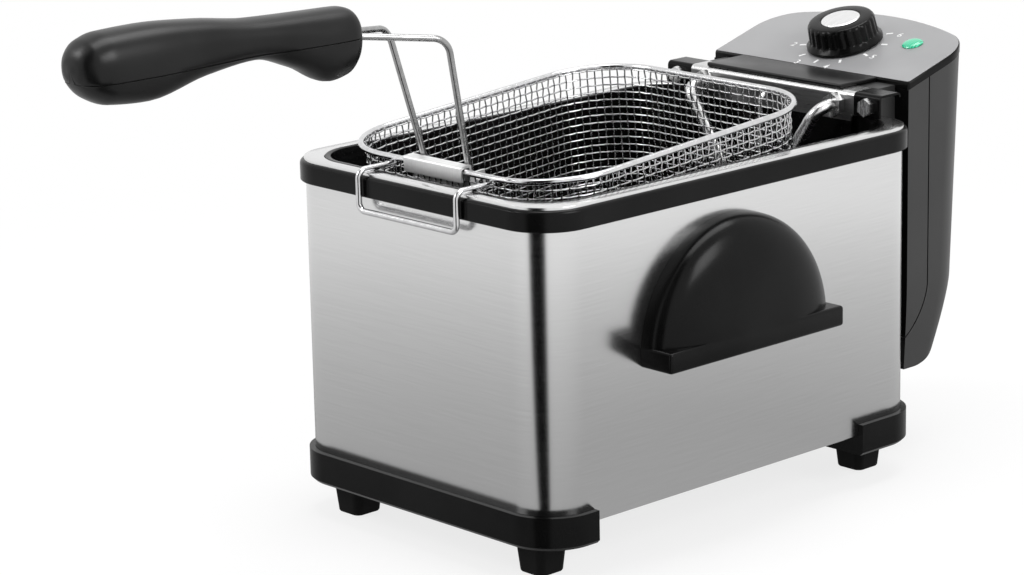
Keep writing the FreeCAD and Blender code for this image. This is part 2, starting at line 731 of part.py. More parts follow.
def make_basket_corners():
    """Each corner is three narrow flat nets set round the bend."""
    inner = net_corner - net_thick - corner_inset
    turn = 90.0 / corner_columns
    width = 2 * inner * math.sin(math.radians(turn / 2))
    nets = []
    for index, (side_x, side_y) in enumerate(((1, 1), (-1, 1), (-1, -1), (1, -1))):
        middle = V(side_x * (net_out_x - net_corner), basket_mid_y + side_y * (net_out_y - net_corner),
                   -basket_depth)
        for column in range(corner_columns):
            net = flat_net(width, basket_depth, 1, net_rows)
            net.translate(V(-width / 2, inner * math.cos(math.radians(turn / 2)), 0))
            net.rotate(V(0, 0, 0), Z_AXIS, 90 * index - 90 + turn * (column + 0.5))
            net.translate(middle)
            nets.append(hang(net))
    return Part.makeCompound(nets)


def make_basket_floor():
    """Flat net with rounded corners: gaps that would cross the outline are left out."""
    step_x = (2 * net_out_x - net_bar) / floor_columns
    step_y = (2 * net_out_y - net_bar) / floor_rows
    z = -basket_depth - net_thick
    outline = round_wire(net_out_x, net_out_y, net_corner, z, basket_mid_y)
    inner = Part.Face(round_wire(net_out_x - net_bar, net_out_y - net_bar, net_corner - net_bar,
                                 z, basket_mid_y))
    gaps = []
    for column in range(floor_columns):
        for row in range(floor_rows):
            low_x = -net_out_x + net_bar + column * step_x
            low_y = basket_mid_y - net_out_y + net_bar + row * step_y
            corners = [V(low_x, low_y, z), V(low_x + step_x - net_bar, low_y, z),
                       V(low_x + step_x - net_bar, low_y + step_y - net_bar, z),
                       V(low_x, low_y + step_y - net_bar, z)]
            if all(inner.isInside(corner, 0.1, True) for corner in corners):
                gaps.append(closed_polygon(corners))
    face = Part.makeFace([outline] + gaps, "Part::FaceMakerBullseye")
    return hang(face.extrude(V(0, 0, net_thick)))


def make_drain_hook():
    """Wire loop from under the front rim, over the housing's rim and down its front."""
    over_z = basket_rim_z - 2 * rim_wire - 0.05
    leg = [(basket_front_y + 1.3, over_z), (hook_front_y, over_z), (hook_front_y, over_z - hook_drop)]
    points = [V(hook_mid_x - hook_half_x, y, z) for y, z in leg]
    points += [V(hook_mid_x + hook_half_x, y, z) for y, z in reversed(leg)]
    return bent_rod(points, rim_wire, [hook_bend] * 4)


def make_handle_bracket():
    """Sheet clip over the front rim wire, with two ears that carry the handle's ends."""
    sheet = bracket_sheet
    half = ear_x + sheet
    hinge = FreeCAD.Rotation(X_AXIS, -basket_tilt).multVec(pivot - V(0, basket_front_y, basket_rim_z))
    hinge.y += basket_front_y
    front_face = basket_front_y - rim_wire - 0.3
    inner_face = basket_front_y + 2.7
    top = rim_wire + 0.2
    outer = box(-half, half, front_face - sheet, inner_face + sheet, -19.0, top + sheet)
    crown = [edge for edge in outer.Edges if edge.BoundBox.ZMin > top and edge.BoundBox.XLength > 10]
    outer = outer.makeFillet(1.1, crown)
    slot = box(-half - 1, half + 1, front_face, inner_face, -30, top)
    below = box(-half - 1, half + 1, basket_front_y - 8, basket_front_y, -30, -4.5)
    clip = outer.cut(slot).cut(below)
    for low in (ear_x, -ear_x - sheet):
        ear = box(low, low + sheet, inner_face + 0.4, hinge.y + 4.5, hinge.z - 5.0, hinge.z + 5.0)
        clip = clip.fuse(ear)
    hole = rod(handle_wire_radius + running_gap, 2 * half + 4, V(-half - 2, hinge.y, hinge.z), X_AXIS)
    return hang(clip.cut(hole).removeSplitter())


def leg_route(side):
    """Out through the bracket's ear, up to the elbow and back along the grip's parting plane."""
    stub = V(ear_x + 3.0, pivot.y, pivot.z)
    return [V(side * point.x, point.y, point.z) for point in (stub, pivot, elbow, grip_entry, grip_socket)]


def make_handle_legs(radius):
    return [bent_rod(leg_route(side), radius, leg_bends) for side in (-1, 1)]


def grip_section(y, low, high, half_x):
    """Points of a rounded section across the grip, between an ellipse and a rectangle."""
    half_z = (high - low) / 2
    points = []
    for k in range(grip_sides):
        across = math.cos(2 * math.pi * (k + 0.5) / grip_sides)
        up = math.sin(2 * math.pi * (k + 0.5) / grip_sides)
        points.append(V(half_x * math.copysign(abs(across) ** grip_square, across), y,
                        (low + high) / 2 + half_z * math.copysign(abs(up) ** grip_square, up)))
    return points


def make_grip():
    """Two half shells round the wires, split level with them and drawn together by a screw from below."""
    body = skinned([grip_section(*station) for station in grip_stations], flat=False)
    lower = body.common(box(-50, 50, -340, -140, 200, grip_parting_z - 0.05))
    upper = body.common(box(-50, 50, -340, -140, grip_parting_z + 0.05, 300))
    for channel in make_handle_legs(handle_wire_radius + 0.1):
        lower = lower.cut(channel)
        upper = upper.cut(channel)
    foot = V(0, grip_screw_y, 225.0)
    lower = lower.cut(peg(1.85, 40, foot, Z_AXIS)).cut(peg(3.6, grip_screw_seat - foot.z, foot, Z_AXIS))
    return upper.cut(peg(1.8, 38.0, foot, Z_AXIS)), lower


def make_grip_screw():
    seat = V(0, grip_screw_y, grip_screw_seat - 0.05)
    return peg(3.4, 2.2, seat - V(0, 0, 2.2), Z_AXIS).fuse(peg(1.7, 20.0, seat, Z_AXIS))


def make_base_screws():
    heads = []
    for side_x in (-1, 1):
        for side_y in (-1, 1):
            spot = V(side_x * 60.0, side_y * 74.0, shell_bottom - 2.15)
            heads.append(peg(3.4, 2.1, spot, Z_AXIS))
    return Part.makeCompound(heads)


def write(name, shape):
    """Save one node's solids and report its volume."""
    shape.exportStep("parts/%s.step" % name)
    print("%-22s solids %2d valid %s volume %.1f" % (name, len(shape.Solids), shape.isValid(), shape.Volume))


def main():
    os.makedirs("parts", exist_ok=True)
    write("outer_shell", make_outer_shell())
    write("rim", make_rim())
    write("rim_trim", make_rim_trim())
    write("tank", make_tank())
    write("base_pan", make_base_pan())
    for end, side_y in (("front", -1), ("rear", 1)):
        for hand, side_x in (("left", -1), ("right", 1)):
            write("foot_%s_%s" % (end, hand), make_foot(side_x * foot_x, side_y * foot_y))
    handle = make_side_handle()
    write("side_handle_right", handle)
    write("side_handle_left", mirrored(handle))
    write("handle_screws", make_handle_screws())
    write("base_screws", make_base_screws())
    write("rear_guide", make_rear_guide())
    front, rear = make_control_shells()
    write("control_front_shell", front)
    write("control_rear_shell", rear)
    write("control_panel", make_control_panel())
    write("knob", make_knob())
    write("knob_cap", make_knob_cap())
    write("spindle", make_spindle())
    write("indicator_lens", make_lens())
    write("indicator_lamp", make_lamp())
    write("thermostat", make_thermostat())
    write("element_plate", make_element_plate())
    write("heating_element", make_heating_element())
    write("element_nuts", make_element_nuts())
    write("plate_screws", make_plate_screws())
    write("thermostat_bulb", make_bulb())
    write("capillary", make_capillary())
    write("thermal_cutout", make_cutout())
    write("reset_button", make_reset_button())
    write("terminal_block", make_terminal_block())
    write("interlock_switch", make_interlock())
    write("cord_gland", make_gland())
    write("basket_rim", make_basket_rim())
    for name, net in make_basket_walls().items():
        write(name, net)
    write("basket_corner_mesh", make_basket_corners())
    write("basket_floor_mesh", make_basket_floor())
    write("drain_hook", make_drain_hook())
    write("handle_bracket", make_handle_bracket())
    write("handle_wire", Part.makeCompound(make_handle_legs(handle_wire_radius)))
    upper, lower = make_grip()
    write("grip_upper", upper)
    write("grip_lower", lower)
    write("grip_screw", make_grip_screw())


main()
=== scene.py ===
import json
from math import asin, atan2, copysign, cos, pi, radians, sin, sqrt, tan
import bmesh
import bpy
from mathutils import Matrix, Vector


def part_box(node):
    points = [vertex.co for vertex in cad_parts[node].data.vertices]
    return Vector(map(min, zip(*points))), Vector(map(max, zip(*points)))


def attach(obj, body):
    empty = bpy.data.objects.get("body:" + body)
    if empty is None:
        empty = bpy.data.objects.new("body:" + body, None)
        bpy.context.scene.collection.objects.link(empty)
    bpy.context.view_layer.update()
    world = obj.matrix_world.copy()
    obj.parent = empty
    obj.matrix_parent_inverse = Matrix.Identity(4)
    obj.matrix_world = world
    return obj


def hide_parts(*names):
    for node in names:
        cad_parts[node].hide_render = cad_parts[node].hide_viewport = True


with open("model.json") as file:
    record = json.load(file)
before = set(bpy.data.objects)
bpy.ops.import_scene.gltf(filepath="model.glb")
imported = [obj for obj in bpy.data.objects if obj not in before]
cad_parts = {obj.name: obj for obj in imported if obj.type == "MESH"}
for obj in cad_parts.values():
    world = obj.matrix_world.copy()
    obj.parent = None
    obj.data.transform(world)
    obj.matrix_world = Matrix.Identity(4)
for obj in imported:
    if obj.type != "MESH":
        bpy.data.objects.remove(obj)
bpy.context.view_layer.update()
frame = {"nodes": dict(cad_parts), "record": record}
scene = bpy.context.scene
scene.view_settings.view_transform = "Standard"
mm = 0.001
slotOf = {part["node"]: part["material_slot"] for part in frame["record"]["subparts"]}
print("frame loaded with", len(frame["nodes"]), "nodes")


def pick(look, *keys):
    return [look[key] for key in keys]


# shader helpers
def setInputs(tree, node, values):
    # each input takes a link from another node's socket, or a plain value
    for key, value in values.items():
        if isinstance(value, bpy.types.NodeSocket):
            tree.links.new(value, node.inputs[key])
        else:
            node.inputs[key].default_value = value


def addNode(tree, kind, values=None, **settings):
    node = tree.nodes.new(kind)
    for key, value in settings.items():
        setattr(node, key, value)
    setInputs(tree, node, values or {})
    return node


def newTree(name, kind, inputs, outputs):
    tree = bpy.data.node_groups.new(name, kind + "NodeTree")
    for side, sockets in (("INPUT", inputs), ("OUTPUT", outputs)):
        for label, socket in sockets.items():
            tree.interface.new_socket(label, in_out=side, socket_type="NodeSocket" + socket)
    return tree, tree.nodes.new("NodeGroupInput").outputs, tree.nodes.new("NodeGroupOutput")


def mapRange(tree, source, low, high, toLow=0.0, toHigh=1.0):
    values = {"Value": source, "From Min": low, "From Max": high, "To Min": toLow, "To Max": toHigh}
    return addNode(tree, "ShaderNodeMapRange", values).outputs["Result"]


def vectorMath(tree, operation, *sources):
    return addNode(tree, "ShaderNodeVectorMath", dict(enumerate(sources)), operation=operation).outputs


def objectPlace(tree):
    return addNode(tree, "ShaderNodeTexCoord").outputs["Object"]


noiseSpan, patchSpan = (0.3, 0.7), (0.35, 0.65)


def makeMouldGrain():
    # moulded skin: fine pitting for bump, slow patches for tone and gloss
    inputs = dict.fromkeys(("Pitting", "Patches", "Rough Low", "Rough High"), "Float")
    tree, given, out = newTree("mouldGrain", "Shader", inputs, dict.fromkeys(("Tone", "Roughness", "Height"), "Float"))
    place = objectPlace(tree)
    fine, slow = (addNode(tree, "ShaderNodeTexNoise", {"Detail": detail, "Vector": place, "Scale": given[size]})
                  for detail, size in ((2.0, "Pitting"), (3.0, "Patches")))
    tone = mapRange(tree, slow.outputs["Fac"], *noiseSpan)
    rough = mapRange(tree, slow.outputs["Fac"], *patchSpan, given["Rough Low"], given["Rough High"])
    setInputs(tree, out, {"Tone": tone, "Roughness": rough, "Height": fine.outputs["Fac"]})
    return tree


def makeBrushLines():
    # noise drawn out along one direction, as a brushing belt leaves it
    inputs = {"Stretch": "Vector", "Rough Low": "Float", "Rough High": "Float"}
    tree, given, out = newTree("brushLines", "Shader", inputs, {"Streak": "Float", "Roughness": "Float"})
    stretch = vectorMath(tree, "MULTIPLY", objectPlace(tree), given["Stretch"])["Vector"]
    lines = addNode(tree, "ShaderNodeTexNoise", {"Vector": stretch, "Scale": 1.0, "Detail": 4.0,
                                                 "Roughness": 0.6}).outputs["Fac"]
    streak = mapRange(tree, lines, *noiseSpan)
    rough = mapRange(tree, lines, *noiseSpan, given["Rough Low"], given["Rough High"])
    setInputs(tree, out, {"Streak": streak, "Roughness": rough})
    return tree


mouldGrain = makeMouldGrain()
brushLines = makeBrushLines()
bumpDepth = {"moulded": 0.0001, "metal": 0.00005, "enamel": 0.0002}


def startFinish(name):
    material = bpy.data.materials.new(name)
    material.use_nodes = True
    return material, material.node_tree, material.node_tree.nodes["Principled BSDF"]


def toColour(value):
    # from a colour or a grey level
    return (*value, 1) if isinstance(value, tuple) else (value, value, value, 1)


def mixColours(tree, factor, first, second):
    values = {"A": toColour(first), "B": toColour(second), "Factor": factor}
    return addNode(tree, "ShaderNodeMix", values, data_type="RGBA").outputs["Result"]


def addBump(tree, shader, height, strength, distance):
    bump = addNode(tree, "ShaderNodeBump", {"Strength": strength, "Distance": distance, "Height": height})
    tree.links.new(bump.outputs["Normal"], shader.inputs["Normal"])


def addGrain(tree, look):
    low, high = look["rough"]
    values = {"Pitting": look["pitting"], "Patches": look["patches"], "Rough Low": low, "Rough High": high}
    return addNode(tree, "ShaderNodeGroup", values, node_tree=mouldGrain).outputs


def mouldedFinish(name, look):
    material, tree, shader = startFinish(name)
    grain = addGrain(tree, look)
    setInputs(tree, shader, {"Base Color": mixColours(tree, grain["Tone"], *look["tones"]),
                             "Roughness": grain["Roughness"], "Specular IOR Level": look.get("specular", 0.5)})
    addBump(tree, shader, grain["Height"], look["bump"], bumpDepth["moulded"])
    return material


def metalFinish(name, look):
    material, tree, shader = startFinish(name)
    low, high = look["rough"]
    lines = addNode(tree, "ShaderNodeGroup", {"Stretch": look["stretch"], "Rough Low": low, "Rough High": high},
                    node_tree=brushLines).outputs
    setInputs(tree, shader, {"Metallic": 1.0, "Base Color": mixColours(tree, lines["Streak"], *look["tones"]),
                             "Roughness": lines["Roughness"]})
    addBump(tree, shader, lines["Streak"], look["bump"], bumpDepth["metal"])
    return material


mouldedLooks = {
    "black_gloss": {"tones": (0.002, 0.005), "rough": (0.17, 0.24), "pitting": 1400, "patches": 25, "bump": 0.08,
        "specular": 0.13},
    "black_plastic": {"tones": (0.020, 0.030), "rough": (0.36, 0.46), "pitting": 1800, "patches": 20, "bump": 0.25,
        "specular": 0.45},
    "grip_black": {"tones": (0.003, 0.007), "rough": (0.28, 0.36), "pitting": 2200, "patches": 30, "bump": 0.20,
        "specular": 0.26},
    "panel_grey": {"tones": ((0.25, 0.25, 0.255), (0.31, 0.31, 0.3162)), "rough": (0.30, 0.38), "pitting": 2600,
        "patches": 18, "bump": 0.12},
    "foot_rubber": {"tones": (0.003, 0.007), "rough": (0.60, 0.75), "pitting": 1300, "patches": 60, "bump": 0.40,
        "specular": 0.12},
    "white_insulator": {"tones": ((0.70, 0.67, 0.60), (0.78, 0.76, 0.70)), "rough": (0.50, 0.62), "pitting": 1200,
        "patches": 50, "bump": 0.20},
    "dial_print": {"tones": (0.80, 0.88), "rough": (0.45, 0.55), "pitting": 2400, "patches": 90, "bump": 0.10},
    "reset_red": {"tones": ((0.40, 0.02, 0.015), (0.48, 0.03, 0.02)), "rough": (0.38, 0.46), "pitting": 1500,
        "patches": 60, "bump": 0.15},
    "lamp_glass": {"tones": ((0.55, 0.62, 0.55), (0.66, 0.72, 0.66)), "rough": (0.08, 0.14), "pitting": 900,
        "patches": 80, "bump": 0.05},
}
metalLooks = {
    "brushed_steel": {"tones": (0.71, 0.76), "rough": (0.17, 0.23), "stretch": (35, 35, 2800), "bump": 0.10},
    "chrome_wire": {"tones": ((0.62, 0.62, 0.6262), (0.72, 0.72, 0.7272)), "rough": (0.10, 0.18),
        "stretch": (300, 300, 300), "bump": 0.04},
    "bare_steel": {"tones": (0.58, 0.68), "rough": (0.20, 0.30), "stretch": (1800, 60, 60), "bump": 0.10},
    "satin_steel": {"tones": (0.72, 0.80), "rough": (0.40, 0.50), "stretch": (1800, 200, 200), "bump": 0.08},
    "plate_steel": {"tones": (0.17, 0.23), "rough": (0.26, 0.36), "stretch": (60, 1800, 1800), "bump": 0.12},
    "handle_steel": {"tones": (0.30, 0.40), "rough": (0.18, 0.28), "stretch": (300, 300, 300), "bump": 0.04},
    "screw_zinc": {"tones": ((0.50, 0.49, 0.45), (0.60, 0.59, 0.56)), "rough": (0.30, 0.42),
        "stretch": (500, 500, 500), "bump": 0.08},
    "bright_trim": {"tones": (0.80, 0.88), "rough": (0.18, 0.28), "stretch": (1500, 120, 120), "bump": 0.06},
}
enamelLook = {"cells": 420.0, "speck": (0.10, 0.16), "tones": (0.002, 0.012), "specular": 0.10,
              "pitting": 260.0, "patches": 20.0, "rough": (0.16, 0.26), "bump": 0.08}


def enamelFinish(name):
    # black glass enamel with pale specks
    material, tree, shader = startFinish(name)
    cells = addNode(tree, "ShaderNodeTexVoronoi", {"Scale": enamelLook["cells"], "Vector": objectPlace(tree)})
    speck = mapRange(tree, cells.outputs["Distance"], *enamelLook["speck"], 1.0, 0.0)
    grain = addGrain(tree, enamelLook)
    setInputs(tree, shader, {"Base Color": mixColours(tree, speck, *enamelLook["tones"]),
                             "Roughness": grain["Roughness"], "Specular IOR Level": enamelLook["specular"]})
    addBump(tree, shader, grain["Height"], enamelLook["bump"], bumpDepth["enamel"])
    return material


glassLook = {"ribs": 260.0, "tones": ((0.01, 0.22, 0.11), (0.05, 0.55, 0.32)), "glow": 0.35, "rough": 0.14, "coat": 0.6}


def lensFinish(name):
    # green moulded lens with fine ribs under a clear coat
    material, tree, shader = startFinish(name)
    waves = {"Scale": glassLook["ribs"], "Distortion": 0.0, "Vector": objectPlace(tree)}
    ribs = addNode(tree, "ShaderNodeTexWave", waves)
    colour = mixColours(tree, ribs.outputs["Fac"], *glassLook["tones"])
    setInputs(tree, shader, {"Base Color": colour, "Emission Color": colour, "Emission Strength": glassLook["glow"],
                             "Roughness": glassLook["rough"], "Coat Weight": glassLook["coat"]})
    return material


finishes = {slot: mouldedFinish(slot, look) for slot, look in mouldedLooks.items()}
finishes.update({slot: metalFinish(slot, look) for slot, look in metalLooks.items()})
finishes["black_enamel"] = enamelFinish("black_enamel")
finishes["green_lens"] = lensFinish("green_lens")
for node, cadPiece in frame["nodes"].items():
    for holder in cadPiece.material_slots:
        holder.material = finishes[slotOf[node]]
print("finishes made:", len(finishes))


# mesh helpers
def newObject(name, data):
    item = bpy.data.objects.new(name, data)
    scene.collection.objects.link(item)
    return item


def newPiece(name, mesh, slot, body, *nodes, finish=None):
    piece = newObject(name, mesh)
    if not mesh.materials:
        mesh.materials.append(finishes[finish or slot])
    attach(piece, body)
    if nodes:
        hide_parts(*nodes)


def shadedMesh(bm, name, degrees):
    # smooth faces, with an edge kept sharp where it turns by more than this angle
    for face in bm.faces:
        face.smooth = True
    for edge in bm.edges:
        edge.smooth = edge.is_manifold and edge.calc_face_angle(0.0) < radians(degrees)
    mesh = bpy.data.meshes.new(name)
    bm.to_mesh(mesh)
    bm.free()
    return mesh


def finishMesh(bm, name, degrees=32):
    bmesh.ops.recalc_face_normals(bm, faces=bm.faces)
    return shadedMesh(bm, name, degrees)


def plainMesh(holder):
    # the holder's shape with its modifiers worked out
    bpy.context.view_layer.update()
    return bpy.data.meshes.new_from_object(holder.evaluated_get(bpy.context.evaluated_depsgraph_get()))


def heading(degrees):
    turn = radians(degrees)
    return Vector((cos(turn), sin(turn), 0))


def roundedLoop(halfX, halfY, corner, z, midX=0.0, midY=0.0, steps=14, ease=1.0):
    # rounded rectangle in mm; a point just before and after each bend keeps the flat runs flat
    loop = []
    for signX, signY, start in ((1, 1, 0), (-1, 1, 90), (-1, -1, 180), (1, -1, 270)):
        centre = Vector((midX + signX * (halfX - corner), midY + signY * (halfY - corner), z))
        for step in range(-1, steps + 2):
            out = heading(start + 90 * min(max(step, 0), steps) / steps)
            slide = ease * ((step < 0) - (step > steps))
            loop.append((centre + out * corner + Vector((out.y, -out.x, 0)) * slide) * mm)
    return loop


def loopMesh(name, loops, closed=False, degrees=32):
    # skin over rings of points, joined end to end if closed, or else with both ends filled
    bm = bmesh.new()
    rings = [[bm.verts.new(point) for point in loop] for loop in loops]
    for low, high in zip(rings, rings[1:] + rings[:closed]):
        for k in range(len(low)):
            bm.faces.new((low[k - 1], low[k], high[k], high[k - 1]))
    if not closed:
        bm.faces.new(rings[0])
        bm.faces.new(rings[-1])
    return finishMesh(bm, name, degrees)


def loopPiece(name, loops, slot, body, *nodes, closed=False, degrees=32):
    newPiece(name, loopMesh(name, loops, closed, degrees), slot, body, *nodes)


mergeGap = 2e-6


def mergedForm(mesh):
    # with merged points, so that round faces shade smoothly
    bm = bmesh.new()
    bm.from_mesh(mesh)
    bmesh.ops.remove_doubles(bm, verts=bm.verts, dist=mergeGap)
    return bm


def copyForm(node):
    return mergedForm(frame["nodes"][node].data)


def smoothCopy(name, node, body, degrees=28, finish=None):
    newPiece(name, shadedMesh(copyForm(node), name, degrees), slotOf[node], body, node, finish=finish)


def splitAt(bm, spot, across):
    # new edges where a plane through spot, in mm, crosses the form
    bmesh.ops.bisect_plane(bm, geom=bm.verts[:] + bm.edges[:] + bm.faces[:], plane_co=Vector(spot) * mm,
                           plane_no=across)


def paintFaces(mesh, slots, choose):
    # several finishes on one mesh; choose gives each face its place in the list
    for slot in slots:
        mesh.materials.append(finishes[slot])
    for face in mesh.polygons:
        face.material_index = choose(face)


def carve(name, base, steps, degrees=32):
    # base mesh with other meshes added to it or cut from it, step by step
    holder = newObject(name + "Base", base)
    tools = []
    for operation, mesh in steps:
        tools.append(newObject(name + "Tool", mesh))
        cut = holder.modifiers.new("carve", "BOOLEAN")
        cut.operation, cut.object, cut.solver = operation, tools[-1], "EXACT"
    mesh = plainMesh(holder)
    for spare in tools + [holder]:
        bpy.data.objects.remove(spare)
    bm = mergedForm(mesh)
    bpy.data.meshes.remove(mesh)
    return finishMesh(bm, name, degrees)


def drillMesh(name, radius, depth, place):
    # round drill in mm, centred on place
    bm = bmesh.new()
    bmesh.ops.create_cone(bm, cap_ends=True, segments=32, radius1=radius * mm, radius2=radius * mm, depth=depth * mm,
                          matrix=place)
    return finishMesh(bm, name)


def blockMesh(name, low, high, edge=0.0, keepSharp=None):
    # box between two corners in mm, its edges rounded except those that keepSharp picks
    bm = bmesh.new()
    middle, size = (Vector(low) + Vector(high)) / 2 * mm, (Vector(high) - Vector(low)) * mm
    bmesh.ops.create_cube(bm, size=1.0, matrix=Matrix.Translation(middle) @ Matrix.Diagonal((*size, 1.0)))
    if edge:
        picked = [line for line in bm.edges if keepSharp is None or not keepSharp(line)]
        bmesh.ops.bevel(bm, geom=picked, offset=edge * mm, segments=4, profile=0.5, affect="EDGES")
    return finishMesh(bm, name)


# geometry node trees
def endTree(tree, geometry, given, out):
    real = addNode(tree, "GeometryNodeRealizeInstances", {"Geometry": geometry}).outputs["Geometry"]
    paint = addNode(tree, "GeometryNodeSetMaterial", {"Geometry": real, "Material": given["Finish"]})
    tree.links.new(paint.outputs["Geometry"], out.inputs["Geometry"])
    return tree


def makeWireTree():
    inputs = {"Path": "Geometry", "Wire Radius": "Float", "Sides": "Int", "Finish": "Material"}
    tree, given, out = newTree("bentWire", "Geometry", inputs, {"Geometry": "Geometry"})
    size = {"Radius": given["Wire Radius"], "Resolution": given["Sides"]}
    ring = addNode(tree, "GeometryNodeCurvePrimitiveCircle", size).outputs["Curve"]
    sweep = addNode(tree, "GeometryNodeCurveToMesh", {"Curve": given["Path"], "Profile Curve": ring, "Fill Caps": True})
    smooth = addNode(tree, "GeometryNodeSetShadeSmooth", {"Geometry": sweep.outputs["Mesh"]})
    return endTree(tree, smooth.outputs["Geometry"], given, out)


def makeDialTree():
    # flat marks on an arc round the knob
    inputs = {"Base": "Geometry", "Marks": "Int", "Dial Radius": "Float", "Start": "Float", "Sweep": "Float",
              "Mark Size": "Vector", "Finish": "Material"}
    tree, given, out = newTree("dialMarks", "Geometry", inputs, {"Geometry": "Geometry"})
    spread = {"Resolution": given["Marks"], "Radius": given["Dial Radius"], "Start Angle": given["Start"],
              "Sweep Angle": given["Sweep"]}
    arc = addNode(tree, "GeometryNodeCurveArc", spread)
    block = addNode(tree, "GeometryNodeMeshCube", {"Size": given["Mark Size"]})
    tangent = addNode(tree, "GeometryNodeInputTangent").outputs["Tangent"]
    align = addNode(tree, "FunctionNodeAlignRotationToVector", {"Vector": tangent}, axis="X")
    marks = addNode(tree, "GeometryNodeInstanceOnPoints", {
        "Points": arc.outputs["Curve"], "Instance": block.outputs["Mesh"], "Rotation": align.outputs["Rotation"]})
    return endTree(tree, marks.outputs["Instances"], given, out)


wireTree = makeWireTree()
dialTree = makeDialTree()


def treeMesh(name, data, tree, values):
    holder = newObject(name + "Source", data)
    modifier = holder.modifiers.new(tree.name, "NODES")
    modifier.node_group = tree
    for socket in tree.interface.items_tree:
        if socket.in_out == "INPUT" and socket.name in values:
            modifier[socket.identifier] = values[socket.name]
    mesh = plainMesh(holder)
    mesh.name = name
    bpy.data.objects.remove(holder)
    return mesh


def wirePiece(name, paths, radius, sides, slot, body, *nodes, closed=False, finish=None):
    # paths are lists of points in mm; closed is one flag for all, or one for each path
    curve = bpy.data.curves.new(name + "Path", "CURVE")
    curve.dimensions = "3D"
    loops = closed if isinstance(closed, list) else [closed] * len(paths)
    for path, isLoop in zip(paths, loops):
        spline = curve.splines.new("POLY")
        spline.points.add(len(path) - 1)
        for point, place in zip(spline.points, path):
            point.co = (*(place * mm), 1.0)
        spline.use_cyclic_u = isLoop
    mesh = treeMesh(name, curve, wireTree,
                    {"Wire Radius": radius * mm, "Sides": sides, "Finish": finishes[finish or slot]})
    newPiece(name, mesh, slot, body, *nodes)


def bentRoute(points, bends, chords=9):
    # straight runs joined by round bends; bends gives one radius for each inner point
    route = [points[0]]
    for before, corner, after, bend in zip(points, points[1:], points[2:], bends):
        back = (before - corner).normalized()
        ahead = (after - corner).normalized()
        halfTurn = (pi - back.angle(ahead)) / 2
        centre = corner + (back + ahead).normalized() * (bend / cos(halfTurn))
        spoke = corner + back * bend * tan(halfTurn) - centre
        axis = spoke.cross(corner + ahead * bend * tan(halfTurn) - centre)
        for k in range(chords + 1):
            route.append(centre + Matrix.Rotation(2 * halfTurn * k / chords, 3, axis) @ spoke)
    return route + [points[-1]]


# steel wrap, rim and base
def nodeSpan(node):
    # half sizes, bottom and top in mm of a node that stands in the middle of the frame
    low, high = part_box(node)
    return high.x / mm, high.y / mm, low.z / mm, high.z / mm


def ringMaker(halfX, halfY, corner):
    # gives the loop at a height z that lies this far outside a rounded rectangle
    return lambda grow, z: roundedLoop(halfX + grow, halfY + grow, corner + grow, z)


shellLook = {"corner": 22.0, "wall": 0.8, "hem": 0.45}


def makeShell():
    halfX, halfY, bottom, top = nodeSpan("outer_shell")
    ring, wall = ringMaker(halfX, halfY, shellLook["corner"]), shellLook["wall"]
    loops = [ring(-wall, bottom + 0.3), ring(-0.5, bottom), ring(-0.25, bottom), ring(0.0, bottom + shellLook["hem"]),
             ring(0.0, top), ring(-wall, top)]
    loopPiece("steelWrap", loops, "brushed_steel", "housing", "outer_shell", closed=True, degrees=40)


rimLook = {"corner": 24.7, "edge": 2.0, "edgeSteps": 6, "openX": 82.5, "openY": 121.5, "openCorner": 24.0, "skirt": 2.0,
           "overhang": 2.6}


def makeRim():
    halfX, halfY, bottom, top = nodeSpan("rim")
    edge, steps, skirt, overhang = pick(rimLook, "edge", "edgeSteps", "skirt", "overhang")
    outer = ringMaker(halfX, halfY, rimLook["corner"])
    inner = ringMaker(rimLook["openX"], rimLook["openY"], rimLook["openCorner"])
    loops = [outer(-overhang, bottom + 0.2), outer(0.3 - overhang, bottom), outer(-0.4, bottom),
             outer(0.0, bottom + 0.4)]
    for k in range(steps + 1):
        turn = radians(90 * k / steps)
        loops.append(outer(-edge * (1 - cos(turn)), top - edge * (1 - sin(turn))))
    loops += [inner(0.8, top), inner(0.2, top - 0.2), inner(0.0, top - 0.8), inner(0.0, bottom), inner(skirt, bottom),
              inner(skirt, top - 2.6), outer(-overhang, top - 3.0)]
    loopPiece("rimMoulding", loops, "black_gloss", "housing", "rim", closed=True, degrees=35)


trimLook = {"corner": 22.7, "grow": 1.7, "innerCorner": 25.7, "edge": 0.35}


def makeTrim():
    halfX, halfY, bottom, top = nodeSpan("rim_trim")
    edge, grow = pick(trimLook, "edge", "grow")
    outer = ringMaker(halfX, halfY, trimLook["corner"])
    inner = ringMaker(rimLook["openX"] + grow, rimLook["openY"] + grow, trimLook["innerCorner"])
    loops = [outer(0.0, bottom), outer(0.0, top - edge), outer(-edge * 0.3, top - edge * 0.3), outer(-edge, top),
             inner(edge, top), inner(0.0, top - edge), inner(0.0, bottom)]
    loopPiece("rimTrim", loops, "brushed_steel", "housing", "rim_trim", closed=True, degrees=40)


tankLook = {"gap": 0.3, "wall": 1.0, "corner": 23.7, "fillet": 13.0, "filletSteps": 6, "lip": 1.65}


